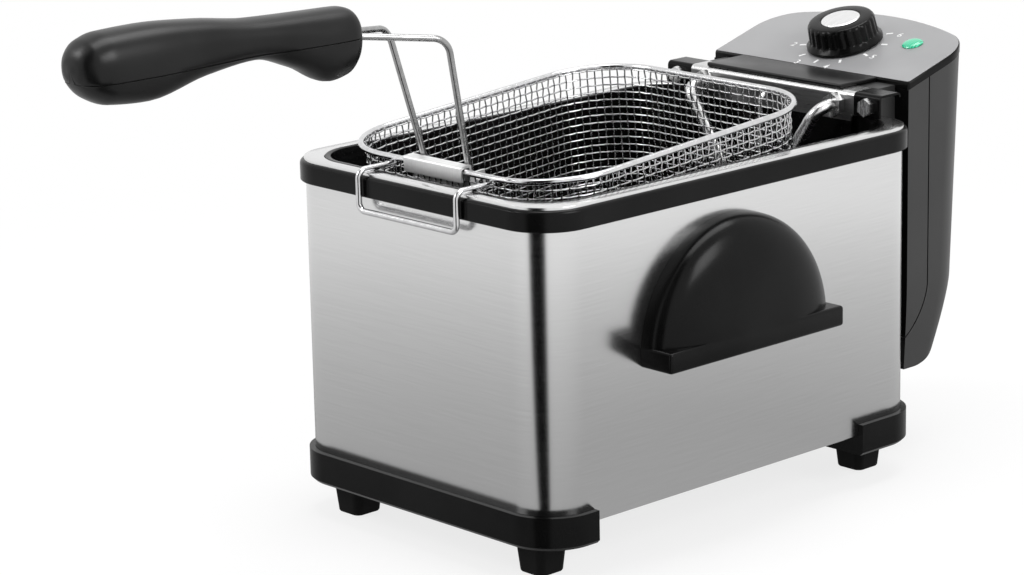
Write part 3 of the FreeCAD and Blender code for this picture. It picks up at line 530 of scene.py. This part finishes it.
def makeTank():
    floor, top = nodeSpan("tank")[2:]
    gap, wall, fillet, steps, lip = pick(tankLook, "gap", "wall", "fillet", "filletSteps", "lip")
    ring = ringMaker(rimLook["openX"] - gap, rimLook["openY"] - gap, tankLook["corner"])

    def bowl(inset, base):
        turns = [radians(90 * k / steps) for k in range(steps + 1)]
        return [ring(-inset - fillet * (1 - sin(turn)), base + fillet * (1 - cos(turn))) for turn in turns]

    loops = bowl(0.0, floor)
    loops += [ring(0.0, top - 1.3), ring(lip, top - 1.3), ring(lip + 0.25, top - 0.7), ring(lip, top)]
    loops += [ring(0.6 - wall, top), ring(0.15 - wall, top - 0.2), ring(-wall, top - 0.8)]
    loops += list(reversed(bowl(wall, floor + wall)))
    loopPiece("oilTank", loops, "black_enamel", "housing", "tank", degrees=40)


footLook = {"levels": ((6.9, 0.0), (7.6, 0.25), (8.0, 0.9), (9.4, 14.5), (10.6, 14.9), (11.0, 15.3), (11.0, 17.0)),
            "corner": 0.42}


def makeFeet():
    for end in ("front", "rear"):
        for hand in ("left", "right"):
            node = "foot_%s_%s" % (end, hand)
            low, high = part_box(node)
            mid = (low + high) / 2 / mm
            loops = [roundedLoop(half, half, half * footLook["corner"], z, mid.x, mid.y, steps=6, ease=0.3)
                     for half, z in footLook["levels"]]
            loopPiece("foot%s%s" % (end.title(), hand.title()), loops, "foot_rubber", "housing", node)


makeShell()
makeRim()
makeTrim()
makeTank()
makeFeet()
smoothCopy("baseMoulding", "base_pan", "housing")
smoothCopy("baseScrews", "base_screws", "housing")
print("housing made")


# lifting scoops on both sides
scoopLook = {"radius": 59.5, "depth": 19.5, "midY": -9.5, "bottom": 94.0, "shelf": 10.0, "wall": 2.6, "edge": 1.6,
             "fullness": 0.64, "solidEnd": 16.0, "arcSteps": 56, "riseSteps": 18, "domeBase": 0.4, "mouthTop": 6.0,
             "seam": 0.01, "past": 1.0, "farPast": 9.0, "farTop": 300.0}


def hoodMesh(name, wallX, inset):
    # half dome on the wall, flat below, a little fuller than round
    midY, bottom, fullness, arcSteps, riseSteps = pick(scoopLook, "midY", "bottom", "fullness", "arcSteps", "riseSteps")
    radius, depth = scoopLook["radius"] - inset, scoopLook["depth"] - inset
    base = bottom + scoopLook["domeBase"] * scoopLook["shelf"]
    bm = bmesh.new()
    grid = []
    for i in range(riseSteps):
        rise = pi / 2 * i / riseSteps
        reach, out = radius * cos(rise) ** fullness, depth * sin(rise) ** fullness
        turns = [pi * k / arcSteps for k in range(arcSteps + 1)]
        spots = [(wallX + out, midY + reach * cos(turn), base + reach * sin(turn)) for turn in turns]
        grid.append([bm.verts.new(Vector(spot) * mm) for spot in spots])
    tip = bm.verts.new(Vector((wallX + depth, midY, base)) * mm)
    for lower, upper in zip(grid, grid[1:]):
        for k in range(len(lower) - 1):
            bm.faces.new((lower[k], lower[k + 1], upper[k + 1], upper[k]))
    for k in range(len(grid[-1]) - 1):
        bm.faces.new((grid[-1][k], grid[-1][k + 1], tip))
    bm.faces.new(grid[0])
    bm.faces.new([row[0] for row in grid] + [tip] + [row[-1] for row in reversed(grid)])
    return finishMesh(bm, name, 40)


def makeScoop(name, node, side):
    low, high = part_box(node)
    wallX = (low.x if side > 0 else -high.x) / mm
    bottom, midY, wall, past = pick(scoopLook, "bottom", "midY", "wall", "past")
    half, finger = scoopLook["radius"], scoopLook["radius"] - scoopLook["solidEnd"]
    outX, shelfTop = wallX + scoopLook["depth"], bottom + scoopLook["shelf"]
    shelf = blockMesh(name + "Shelf", (wallX, midY - half, bottom), (outX, midY + half, shelfTop), scoopLook["edge"],
                      lambda line: all(vert.co.x < (wallX + past) * mm for vert in line.verts))
    middle = blockMesh(name + "Middle", (wallX - past, midY - finger, 0),
                       (outX + scoopLook["farPast"], midY + finger, scoopLook["farTop"]))
    hollow = carve(name + "Hollow", hoodMesh(name + "Inner", wallX - scoopLook["seam"], wall), [("INTERSECT", middle)])
    mouth = blockMesh(name + "Mouth", (wallX - past, midY - finger, bottom - past),
                      (outX - wall, midY + finger, bottom + scoopLook["mouthTop"]))
    mesh = carve(name, hoodMesh(name + "Hood", wallX, 0.0),
                 [("UNION", shelf), ("DIFFERENCE", hollow), ("DIFFERENCE", mouth)], 36)
    if side < 0:
        mesh.transform(Matrix.Diagonal((-1, 1, 1, 1)))
        mesh.flip_normals()
    newPiece(name, mesh, "black_gloss", "housing", node)


makeScoop("scoopRight", "side_handle_right", 1)
makeScoop("scoopLeft", "side_handle_left", -1)
print("scoops made")


# control box
panelLook = {"slope": 16.0, "front": 146.0, "frontZ": 193.0, "halfX": 67.0, "shoulder": 24.0, "bow": 150.0,
             "shoulderSteps": 12, "bowSteps": 10, "back": 208.5, "corner": 0.8, "cornerRise": 1.0, "thick": 4.0,
             "edge": 1.1, "spindleHole": 4.2, "drillDepth": 20.0, "topFacing": 0.97}
slope = radians(panelLook["slope"])
panelNormal = Vector((0, -sin(slope), cos(slope)))


def panelPoint(x, y):
    return Vector((x, y, panelLook["frontZ"] + (y - panelLook["front"]) * tan(slope)))


knobLook = {"y": 174.0, "skirt": 20.0, "top": 17.6, "height": 14.0, "flutes": 24, "fluteDepth": 0.6, "points": 192,
            "capPoints": 64}


def panelFrame(x=0.0, y=knobLook["y"]):
    # place on the panel's slope, at the knob unless told otherwise
    return Matrix.Translation(panelPoint(x, y) * mm) @ Matrix.Rotation(slope, 4, "X")


def panelOutline(inset):
    # straight front and sides, round shoulders, wide bowed back
    halfX, shoulder, bow, corner = pick(panelLook, "halfX", "shoulder", "bow", "corner")
    shoulderSteps, bowSteps = pick(panelLook, "shoulderSteps", "bowSteps")
    half, front = halfX - inset, panelLook["front"] + inset
    shoulderX, bowMid = halfX - shoulder, panelLook["back"] - bow
    shoulderY = bowMid + sqrt((bow - shoulder) ** 2 - shoulderX ** 2)
    meet = atan2(shoulderY - bowMid, shoulderX)
    right = [(half, front + panelLook["cornerRise"])]
    turns = [meet * k / shoulderSteps for k in range(shoulderSteps + 1)]
    right += [(shoulderX + (shoulder - inset) * cos(turn), shoulderY + (shoulder - inset) * sin(turn))
              for turn in turns]
    turns = [meet + (pi / 2 - meet) * k / bowSteps for k in range(1, bowSteps + 1)]
    right += [((bow - inset) * cos(turn), bowMid + (bow - inset) * sin(turn)) for turn in turns]
    left = [(-x, y) for x, y in reversed(right[:-1])]
    return [(half - corner, front)] + right + left + [(-half + corner, front)]


def makePanel():
    edge = panelLook["edge"]
    levels = [(0.0, -panelLook["thick"]), (0.0, -edge)]
    levels += [(edge * (1 - cos(turn)), -edge * (1 - sin(turn))) for turn in (0.4, 0.8, 1.2, pi / 2)]
    loops = [[(panelPoint(x, y) + Vector((0, 0, lift))) * mm for x, y in panelOutline(inset)] for inset, lift in levels]
    drill = drillMesh("spindleDrill", panelLook["spindleHole"], panelLook["drillDepth"], panelFrame())
    mesh = carve("controlPanel", loopMesh("panelSlab", loops, degrees=35), [("DIFFERENCE", drill)], 35)
    # grey top, black edge all round
    paintFaces(mesh, ("panel_grey", "black_gloss"),
               lambda face: int(face.normal.dot(panelNormal) <= panelLook["topFacing"]))
    newPiece("controlPanel", mesh, "panel_grey", "control_unit", "control_panel")


def turnedLoops(profile, points, flutes=0):
    # profile rows are radius, height and flute depth in mm
    loops = []
    for radius, height, depth in profile:
        loop = []
        for k in range(points):
            turn = 2 * pi * k / points
            reach = radius - depth * (0.5 + 0.5 * cos(flutes * turn)) ** 2
            loop.append(Vector((reach * cos(turn), reach * sin(turn), height)) * mm)
        loops.append(loop)
    return loops


def placedPiece(name, loops, place, slot, body, *nodes):
    loopPiece(name, [[place @ point for point in loop] for loop in loops], slot, body, *nodes, degrees=35)


def makeKnob():
    skirt, top, height, depth = pick(knobLook, "skirt", "top", "height", "fluteDepth")
    profile = [(skirt - 0.6, 0.4, 0), (skirt, 0.8, 0), (skirt, 2.0, 0), (skirt - 0.4, 2.5, 0), (top + 0.8, 3.8, 0),
               (top + 0.6, 4.3, depth * 0.6), (top + 0.5, 5.0, depth), (top + 0.1, height - 2.4, depth),
               (top - 0.3, height - 1.2, depth * 0.5), (top - 1.0, height - 0.4, 0), (top - 2.0, height, 0),
               (10.9, height, 0), (10.5, height - 0.3, 0), (10.4, height - 0.9, 0)]
    loops = turnedLoops(profile, knobLook["points"], knobLook["flutes"])
    placedPiece("dialKnob", loops, panelFrame(), "black_gloss", "knob", "knob")
    cap = [(10.2, height - 0.95, 0), (10.2, height - 0.2, 0), (9.9, height + 0.1, 0), (9.2, height + 0.35, 0),
           (8.4, height + 0.42, 0), (8.0, height + 0.30, 0), (7.5, height + 0.30, 0), (3.0, height + 0.42, 0)]
    placedPiece("knobCap", turnedLoops(cap, knobLook["capPoints"]), panelFrame(), "bright_trim", "knob", "knob_cap")


lensLook = {"x": 38.0, "y": 183.0, "points": 48,
            "dome": ((4.5, -3.0, 0), (4.5, 0.05, 0), (5.5, 0.05, 0), (5.6, 0.4, 0), (5.2, 0.9, 0), (4.4, 1.4, 0),
                     (3.2, 1.75, 0), (1.6, 1.95, 0))}


def makeLens():
    loops = turnedLoops(lensLook["dome"], lensLook["points"])
    placedPiece("greenLens", loops, panelFrame(lensLook["x"], lensLook["y"]), "green_lens", "control_unit",
                "indicator_lens")


dialLook = {"radius": 23.4, "marks": 9, "start": -225.0, "sweep": 270.0, "size": (1.3, 3.6, 0.12), "lift": 0.05,
            "numberRadius": 28.8, "numberSize": 6.0, "numberThick": 0.06,
            "numbers": (("1", -215.0), ("2", -160.0), ("3", -110.0), ("4", -70.0), ("5", -20.0), ("6", 35.0))}


def makeDial():
    # printed marks and plain numbers round the knob
    values = {"Marks": dialLook["marks"], "Dial Radius": dialLook["radius"] * mm,
              "Start": radians(dialLook["start"]), "Sweep": radians(dialLook["sweep"]),
              "Mark Size": Vector(dialLook["size"]) * mm, "Finish": finishes["dial_print"]}
    face = panelFrame() @ Matrix.Translation((0, 0, dialLook["lift"] * mm))
    mesh = treeMesh("dialMarks", bpy.data.meshes.new("dialBase"), dialTree, values)
    mesh.transform(face)
    newPiece("dialMarks", mesh, "white_insulator", "control_unit")
    for label, angle in dialLook["numbers"]:
        text = bpy.data.curves.new("dialNumber" + label, "FONT")
        text.body, text.size, text.extrude = label, dialLook["numberSize"] * mm, dialLook["numberThick"] * mm
        text.align_x, text.align_y = "CENTER", "CENTER"
        holder = newObject("dialText", text)
        mesh = plainMesh(holder)
        bpy.data.objects.remove(holder)
        mesh.transform(face @ Matrix.Translation(heading(angle) * dialLook["numberRadius"] * mm))
        mesh.materials.clear()
        newPiece("dialNumber" + label, mesh, "white_insulator", "control_unit", finish="dial_print")


bellyLook = {"top": 86.0, "hinge": 140.0, "drop": 42.0, "pull": 0.34, "power": 1.45, "cuts": 14, "paintedShadeFacing": -0.7}


def makeBoxShell(name, node):
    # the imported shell, with its lower back drawn in to a fuller curve
    top, hinge, drop, pull, power, cuts = pick(bellyLook, "top", "hinge", "drop", "pull", "power", "cuts")
    bm = copyForm(node)
    for k in range(cuts):
        splitAt(bm, (0, 0, top - drop * k / cuts), (0, 0, 1))
    for vert in bm.verts:
        below = max(top - vert.co.z / mm, 0.0) / drop
        vert.co.y -= max(vert.co.y - hinge * mm, 0.0) * pull * below ** power
    mesh = shadedMesh(bm, name, 24)
    # darker, glossier black on the face towards the tank: painted shade on that face
    paintFaces(mesh, ("black_plastic", "black_gloss"), lambda face: int(face.normal.y < bellyLook["paintedShadeFacing"]))
    newPiece(name, mesh, slotOf[node], "control_unit", node)


plateLook = {"blackTop": 176.0, "earX": 56.0, "topFacing": 0.2, "shadeLow": (-46.0, 118.2, 191.05),
             "shadeHigh": (46.0, 145.9, 193.3), "shadeEdge": 0.8}


def makePlate():
    # upward faces of the bend and upper flange in bright steel and the other faces in dark steel, painted light and
    # painted shade on one sheet; black below and on the ears; a black block up to the panel, painted shade under the
    # panel
    blackTop, earX = pick(plateLook, "blackTop", "earX")
    bm = copyForm("element_plate")
    splitAt(bm, (0, 0, blackTop), (0, 0, 1))
    splitAt(bm, (earX, 0, 0), (1, 0, 0))
    splitAt(bm, (-earX, 0, 0), (1, 0, 0))
    mesh = shadedMesh(bm, "elementPlate", 28)

    def coat(face):
        blackPart = face.center.z < blackTop * mm or abs(face.center.x) > earX * mm
        # black below the line and on the ears; elsewhere faces turned up get the bright bare steel and the rest the
        # dark plate steel, painted light on top and painted shade on the other faces
        return 2 if blackPart else int(face.normal.z > plateLook["topFacing"])

    paintFaces(mesh, ("plate_steel", "bare_steel", "black_enamel"), coat)
    newPiece("elementPlate", mesh, slotOf["element_plate"], "control_unit", "element_plate")
    # a black block below the panel's front edge, painted shade where the shade under the panel falls
    shadeBlock = blockMesh("panelShadeBlock", *pick(plateLook, "shadeLow", "shadeHigh", "shadeEdge"))
    newPiece("panelShadeBlock", shadeBlock, "black_gloss", "control_unit", finish="grip_black")


makePanel()
makeKnob()
makeLens()
makeDial()
makeBoxShell("frontShell", "control_front_shell")
makeBoxShell("rearShell", "control_rear_shell")
makePlate()
print("control box made")


# frying basket
basketLook = {"halfX": 77.0, "front": -112.0, "rear": 73.0, "corner": 37.0, "rimZ": 183.2, "tilt": 4.33, "depth": 88.0,
              "rimWire": 1.5, "rimSides": 14, "meshWire": 0.42, "meshSides": 5, "weave": 0.9, "meshTop": 0.4,
              "inset": 2.1, "foot": 9.0, "footTurns": (0.0, 0.52, 1.05, 1.57), "endCells": 20, "sideCells": 28,
              "cornerCells": 14, "rows": 20, "firstRow": 0.25}
basketMidY = (basketLook["front"] + basketLook["rear"]) / 2
basketHalfY = (basketLook["rear"] - basketLook["front"]) / 2
basketRuns = (basketLook["halfX"] - basketLook["corner"], basketHalfY - basketLook["corner"])
hang = (Matrix.Translation((0, basketLook["front"], basketLook["rimZ"]))
        @ Matrix.Rotation(radians(basketLook["tilt"]), 4, "X")
        @ Matrix.Translation((0, -basketLook["front"], 0)))


def wallSpots():
    # places and outward directions of the upright mesh wires, once round the basket
    corner = basketLook["corner"] - basketLook["inset"]
    runX, runY = basketRuns
    ends, flanks = (basketLook["endCells"], 2 * runX), (basketLook["sideCells"], 2 * runY)
    spots = []
    for midX, midY, start, (cells, run) in ((runX, runY, 0, ends), (-runX, runY, 90, flanks), (-runX, -runY, 180, ends),
                                            (runX, -runY, 270, flanks)):
        middle = Vector((midX, midY + basketMidY, 0))
        for k in range(basketLook["cornerCells"]):
            out = heading(start + 90 * k / basketLook["cornerCells"])
            spots.append((middle + out * corner, out))
        out = heading(start + 90)
        along = Vector((-out.y, out.x, 0))
        spots += [(middle + out * corner + along * run * k / cells, out) for k in range(cells)]
    return spots


def floorWires(wave):
    # woven wires both ways across the floor, each as far as the round corners let it go
    inset = basketLook["inset"] + basketLook["foot"]
    corner = basketLook["corner"] - inset
    halves = (basketLook["halfX"] - inset, basketHalfY - inset)
    steps = [2 * run / cells for run, cells in zip(basketRuns, pick(basketLook, "endCells", "sideCells"))]
    counts = [int(half / step) for half, step in zip(halves, steps)]
    wires = []
    for axis, other, lift in ((0, 1, wave), (1, 0, -wave)):
        for i in range(-counts[axis], counts[axis] + 1):
            past = max(abs(i * steps[axis]) - (halves[axis] - corner), 0.0)
            far = halves[other] - corner + sqrt(max(corner ** 2 - past ** 2, 0.0))
            crossings = [k for k in range(-counts[other], counts[other] + 1) if abs(k * steps[other]) < far]
            rows = [(-far, 0.0)] + [(k * steps[other], lift * (-1) ** (i + k)) for k in crossings] + [(far, 0.0)]
            spots = [(reach, i * steps[axis], rise) if axis else (i * steps[axis], reach, rise) for reach, rise in rows]
            wires.append([Vector((x, y + basketMidY, rise - basketLook["depth"])) for x, y, rise in spots])
    return wires


def makeBasketMesh():
    spots = wallSpots()
    foot, depth, rows, wire, sides = pick(basketLook, "foot", "depth", "rows", "meshWire", "meshSides")
    wave = wire * basketLook["weave"]
    levels = [(0.0, -(depth - foot) / rows * (j + basketLook["firstRow"])) for j in range(rows)]
    levels += [(foot * (1 - cos(turn)), -(depth - foot) - foot * sin(turn)) for turn in basketLook["footTurns"]]

    def wallPoint(i, j, side):
        (place, out), (inward, z) = spots[i], levels[j]
        return place - out * inward + Vector((0, 0, z)) + out * side * wave * (-1) ** (i + j)

    top = Vector((0, 0, basketLook["meshTop"]))
    uprights = [[place + top] + [wallPoint(i, j, 1) for j in range(len(levels))]
                for i, (place, out) in enumerate(spots)]
    hoops = [[wallPoint(i, j, -1) for i in range(len(spots))] for j in range(len(levels))]
    floor = floorWires(wave)
    closed = [False] * len(uprights) + [True] * len(hoops) + [False] * len(floor)
    paths = [[hang @ point for point in path] for path in uprights + hoops + floor]
    wirePiece("basketMesh", paths, wire, sides, "chrome_wire", "basket", "basket_front_mesh", "basket_rear_mesh",
              "basket_left_mesh", "basket_right_mesh", "basket_corner_mesh", "basket_floor_mesh", closed=closed)


def makeBasketRim():
    loop = roundedLoop(basketLook["halfX"], basketHalfY, basketLook["corner"], 0.0, 0.0, basketMidY, steps=20)
    wirePiece("basketRim", [[hang @ (point / mm) for point in loop]], basketLook["rimWire"], basketLook["rimSides"],
              "chrome_wire", "basket", "basket_rim", closed=True)


hookLook = {"midX": 3.0, "halfX": 34.0, "drop": 19.0, "frontY": -133.6, "rearPast": 1.3, "gap": 0.05, "bend": 4.0}


def makeHook():
    midX, halfX, drop, frontY, rearPast = pick(hookLook, "midX", "halfX", "drop", "frontY", "rearPast")
    overZ = basketLook["rimZ"] - 2 * basketLook["rimWire"] - hookLook["gap"]
    rearY, lowZ, left, right = basketLook["front"] + rearPast, overZ - drop, midX - halfX, midX + halfX
    points = [Vector(row) for row in ((left, rearY, overZ), (left, frontY, overZ), (left, frontY, lowZ),
                                      (right, frontY, lowZ), (right, frontY, overZ), (right, rearY, overZ))]
    wirePiece("drainHook", [bentRoute(points, [hookLook["bend"]] * 4)], basketLook["rimWire"], basketLook["rimSides"],
              "chrome_wire", "basket", "drain_hook")


makeBasketMesh()
makeBasketRim()
makeHook()
smoothCopy("handleBracket", "handle_bracket", "basket", finish="satin_steel")
print("basket made")


# basket handle
handleLook = {"wire": 1.6, "sides": 14, "earX": 21.6, "pivot": (14.6, -104.0, 177.5),
              "elbow": (20.8, -121.7, 247.3), "entry": (7.5, -163.0, 252.5), "socket": (6.0, -190.0, 252.5),
              "bends": (3.6, 10.0, 8.0)}


def makeHandleWire():
    rows = pick(handleLook, "pivot", "elbow", "entry", "socket")
    rows = [(handleLook["earX"], *rows[0][1:])] + rows
    paths = [bentRoute([Vector((side * x, y, z)) for x, y, z in rows], handleLook["bends"]) for side in (-1, 1)]
    wirePiece("handleWire", paths, handleLook["wire"], handleLook["sides"], "chrome_wire", "basket_handle",
              "handle_wire", finish="handle_steel")


gripLook = {
    "parting": 252.5, "square": 0.85, "groove": 0.28, "gap": 0.05, "endLevel": 0.98, "arcPoints": 28, "rings": 78,
    "screwY": -177.0, "screwSeat": 241.0, "drillLow": 225.0, "screwHole": 3.6,
    "stations": (       # each gives y, low z, high z and half width
        (-163.0, 247.0, 261.6, 8.6), (-163.6, 243.4, 263.4, 10.4), (-165.6, 238.4, 265.4, 12.2),
        (-169.5, 235.0, 266.3, 13.3), (-178.0, 233.5, 266.6, 13.8), (-197.0, 242.2, 267.1, 12.9),
        (-221.0, 249.4, 268.0, 12.1), (-249.0, 246.4, 271.6, 12.9), (-280.0, 240.0, 273.7, 14.6),
        (-301.0, 241.6, 273.2, 14.4), (-309.5, 245.2, 271.0, 12.9), (-314.0, 249.4, 267.6, 9.8),
        (-316.3, 253.6, 263.8, 6.0), (-317.0, 257.6, 259.8, 1.4))}


def smoothStations(stations, count):
    # smooth curve through the stations that never swings past them, with as many rings between each pair
    rows, last = [], len(stations) - 1
    for step in range(count + 1):
        place = step / count * last
        index = min(int(place), last - 1)
        t = place - index
        near = [stations[min(max(index + k, 0), last)] for k in (-1, 0, 1, 2)]
        spans = [max(abs(b[0] - a[0]), 1e-6) for a, b in zip(near, near[1:])]
        row = [near[1][0] + (near[2][0] - near[1][0]) * t]
        for axis in (1, 2, 3):
            before, here, after = ((b[axis] - a[axis]) / span for a, b, span in zip(near, near[1:], spans))
            before = before if index else here
            after = after if index + 2 <= last else here
            leave, arrive = (2 * side * here / (side + here) if side * here > 0 else 0.0 for side in (before, after))
            row.append((2 * t ** 3 - 3 * t ** 2 + 1) * near[1][axis] + (t ** 3 - 2 * t ** 2 + t) * leave * spans[1]
                       + (3 * t ** 2 - 2 * t ** 3) * near[2][axis] + (t ** 3 - t ** 2) * arrive * spans[1])
        rows.append(row)
    return rows


def signedPower(value, power):
    return copysign(abs(value) ** power, value)


def gripHalf(name, upper):
    square, groove, gap, endLevel, count = pick(gripLook, "square", "groove", "gap", "endLevel", "arcPoints")
    away = 1 if upper else -1
    loops = []
    for y, low, high, halfX in smoothStations(gripLook["stations"], gripLook["rings"]):
        midZ, halfZ = (low + high) / 2, (high - low) / 2
        level = max(min((gripLook["parting"] - midZ) / halfZ, endLevel), -endLevel)
        start = asin(signedPower(level, 1 / square))
        first, last = (start, pi - start) if upper else (pi - start, 2 * pi + start)
        turns = [first + (last - first) * k / count for k in range(count + 1)]
        arc = [Vector((halfX * signedPower(cos(turn), square), y,
                       midZ + halfZ * signedPower(sin(turn), square))) for turn in turns]
        (inLeft, upLeft), (inRight, upRight) = (
            (point + Vector((-copysign(groove, point.x), 0, gap * away)),
             point + Vector((0, 0, groove * away))) for point in (arc[0], arc[-1]))
        loops.append([point * mm for point in [inLeft, upLeft] + arc[1:-1] + [upRight, inRight]])
    return loopMesh(name, loops, degrees=38)


screwY, screwSeat, drillLow, screwHole = pick(gripLook, "screwY", "screwSeat", "drillLow", "screwHole")
makeHandleWire()
newPiece("gripUpper", gripHalf("gripUpper", True), "grip_black", "basket_handle", "grip_upper")
drillPlace = Matrix.Translation(Vector((0, screwY, (drillLow + screwSeat) / 2)) * mm)
gripDrill = drillMesh("gripDrill", screwHole, screwSeat - drillLow, drillPlace)
gripLower = carve("gripLower", gripHalf("gripLowerWhole", False), [("DIFFERENCE", gripDrill)], 38)
newPiece("gripLower", gripLower, "grip_black", "basket_handle", "grip_lower")
print("handle made")


# heating element
elementLook = {"radius": 3.2, "bend": 8.0, "sides": 20,
               "leg": ((45.0, 140.0, 183.5), (45.0, 102.0, 183.5), (20.0, 102.0, 148.0), (16.0, 102.0, 52.0),
                       (16.0, 76.0, 52.0), (55.0, 55.0, 52.0), (55.0, -90.0, 52.0))}


def makeElement():
    leg = [Vector(row) for row in elementLook["leg"]]
    route = leg + [Vector((-x, y, z)) for x, y, z in reversed(leg)]
    wirePiece("heatingTube", [bentRoute(route, [elementLook["bend"]] * (len(route) - 2))], elementLook["radius"],
              elementLook["sides"], "bare_steel", "control_unit", "heating_element")


makeElement()
print("element made")


# stage: camera, floor and light
cameraLook = {"azimuth": 47.11, "elevation": 14.55, "roll": 1.22, "lens": 120.44, "sensor": 36.0, "clip": 0.05,
              "shiftX": -48.16, "shiftY": 74.89, "distance": 1707.67, "aimZ": 27.0}


def makeCamera():
    azimuth, elevation, roll = map(radians, pick(cameraLook, "azimuth", "elevation", "roll"))
    level = cos(elevation)
    back = Vector((sin(azimuth) * level, -cos(azimuth) * level, sin(elevation)))
    right = Vector((cos(azimuth), sin(azimuth), 0))
    up = back.cross(right)
    spot = back * cameraLook["distance"] + right * cameraLook["shiftX"] + up * cameraLook["shiftY"]
    spot += Vector((0, 0, cameraLook["aimZ"]))
    imageRight = right * cos(roll) - up * sin(roll)
    imageUp = right * sin(roll) + up * cos(roll)
    data = bpy.data.cameras.new("photoView")
    data.lens, data.sensor_width, data.clip_start = pick(cameraLook, "lens", "sensor", "clip")
    scene.camera = newObject("photoView", data)
    turned = Matrix((imageRight, imageUp, back)).transposed().to_4x4()
    scene.camera.matrix_world = Matrix.Translation(spot * mm) @ turned


floorLook = {"size": 6.0, "below": 0.0003, "colour": 0.86, "rough": 0.9, "nearWhite": 0.80, "fade": (0.30, 0.75),
             "mirrorFade": (0.16, 0.62), "mirrorLevels": (0.46, 0.98), "acrossFade": (-0.6, 0.4),
             "acrossLevels": (0.90, 1.0), "corner": (0.085, -0.125, 0.0), "gapAzimuth": 23.0,
             "gapCosine": (0.914, 0.961), "gapLevel": 0.0}


def facingGap(tree, offset):
    # 1 away from the stage's dark strip, 0 inside it
    ahead = vectorMath(tree, "NORMALIZE", vectorMath(tree, "MULTIPLY", offset, (1, 1, 0))["Vector"])["Vector"]
    turn = radians(floorLook["gapAzimuth"])
    facing = vectorMath(tree, "DOT_PRODUCT", ahead, (sin(turn), -cos(turn), 0))["Value"]
    return mapRange(tree, facing, *floorLook["gapCosine"], 1.0, floorLook["gapLevel"])


def combine(tree, operation, first, second):
    return addNode(tree, "ShaderNodeMath", {0: first, 1: second}, operation=operation).outputs["Value"]


def makeFloor():
    # pale floor, white to the camera away from the object, with the shadow kept near it
    bm = bmesh.new()
    bmesh.ops.create_grid(bm, x_segments=1, y_segments=1, size=floorLook["size"],
                          matrix=Matrix.Translation((0, 0, -floorLook["below"])))
    mesh = shadedMesh(bm, "paleFloor", 30)
    material, tree, shader = startFinish("paleFloor")
    setInputs(tree, shader, {"Base Color": toColour(floorLook["colour"]), "Roughness": floorLook["rough"],
                             "Specular IOR Level": 0.0})
    place = objectPlace(tree)
    away = vectorMath(tree, "LENGTH", place)["Value"]
    rays = addNode(tree, "ShaderNodeLightPath").outputs
    share = combine(tree, "MULTIPLY", mapRange(tree, away, *floorLook["fade"], floorLook["nearWhite"], 1.0),
                    rays["Is Camera Ray"])
    for ray in ("Is Glossy Ray", "Is Transmission Ray"):
        share = combine(tree, "MAXIMUM", share, rays[ray])
    # what metal shows of the floor: painted shade close by and towards -x, and the dark strip
    across = addNode(tree, "ShaderNodeSeparateXYZ", {"Vector": place}).outputs["X"]
    mirror = combine(tree, "MULTIPLY", mapRange(tree, across, *floorLook["acrossFade"], *floorLook["acrossLevels"]),
                     mapRange(tree, away, *floorLook["mirrorFade"], *floorLook["mirrorLevels"]))
    fromCorner = vectorMath(tree, "SUBTRACT", place, floorLook["corner"])["Vector"]
    mirror = combine(tree, "MULTIPLY", mirror, facingGap(tree, fromCorner))
    strength = mapRange(tree, rays["Is Glossy Ray"], 0.0, 1.0, 1.0, mirror)
    white = addNode(tree, "ShaderNodeEmission", {"Color": (1, 1, 1, 1), "Strength": strength})
    blend = addNode(tree, "ShaderNodeMixShader", {"Fac": share, 1: shader.outputs["BSDF"],
                                                  2: white.outputs["Emission"]})
    tree.links.new(blend.outputs["Shader"], tree.nodes["Material Output"].inputs["Surface"])
    mesh.materials.append(material)
    floor = newObject("paleFloor", mesh)


# softboxes: name, place, width and height, power
lightLook = {"world": 0.55, "aim": (0, 0, 0.1),
             "boxes": (("keySoftbox", (-1.1, -1.5, 1.5), (0.9, 0.9), 17.0),
                       ("sideSoftbox", (1.7, 0.3, 1.2), (0.8, 0.8), 15.0),
                       ("topSoftbox", (0.0, 0.3, 2.0), (0.9, 1.7), 22.0))}


def makeLight():
    for name, place, size, power in lightLook["boxes"]:
        data = bpy.data.lights.new(name, "AREA")
        data.shape, data.energy = "RECTANGLE", power
        data.size, data.size_y = size
        lamp = newObject(name, data)
        lamp.location = place
        lamp.rotation_euler = (Vector(lightLook["aim"]) - Vector(place)).to_track_quat("-Z", "Y").to_euler()
    world = bpy.data.worlds.new("studio")
    world.use_nodes = True
    scene.world = world
    tree = world.node_tree
    # white room with one dark strip, which polished metal shows as a narrow dark line
    room = facingGap(tree, addNode(tree, "ShaderNodeTexCoord").outputs["Generated"])
    rays = addNode(tree, "ShaderNodeLightPath").outputs
    glossy = mapRange(tree, rays["Is Glossy Ray"], 0.0, 1.0, lightLook["world"], room)
    seen = combine(tree, "MAXIMUM", rays["Is Camera Ray"], rays["Is Transmission Ray"])
    setInputs(tree, tree.nodes["Background"], {"Color": (1, 1, 1, 1),
                                               "Strength": mapRange(tree, seen, 0.0, 1.0, glossy, 1.0)})


makeCamera()
makeFloor()
makeLight()
print("stage made")
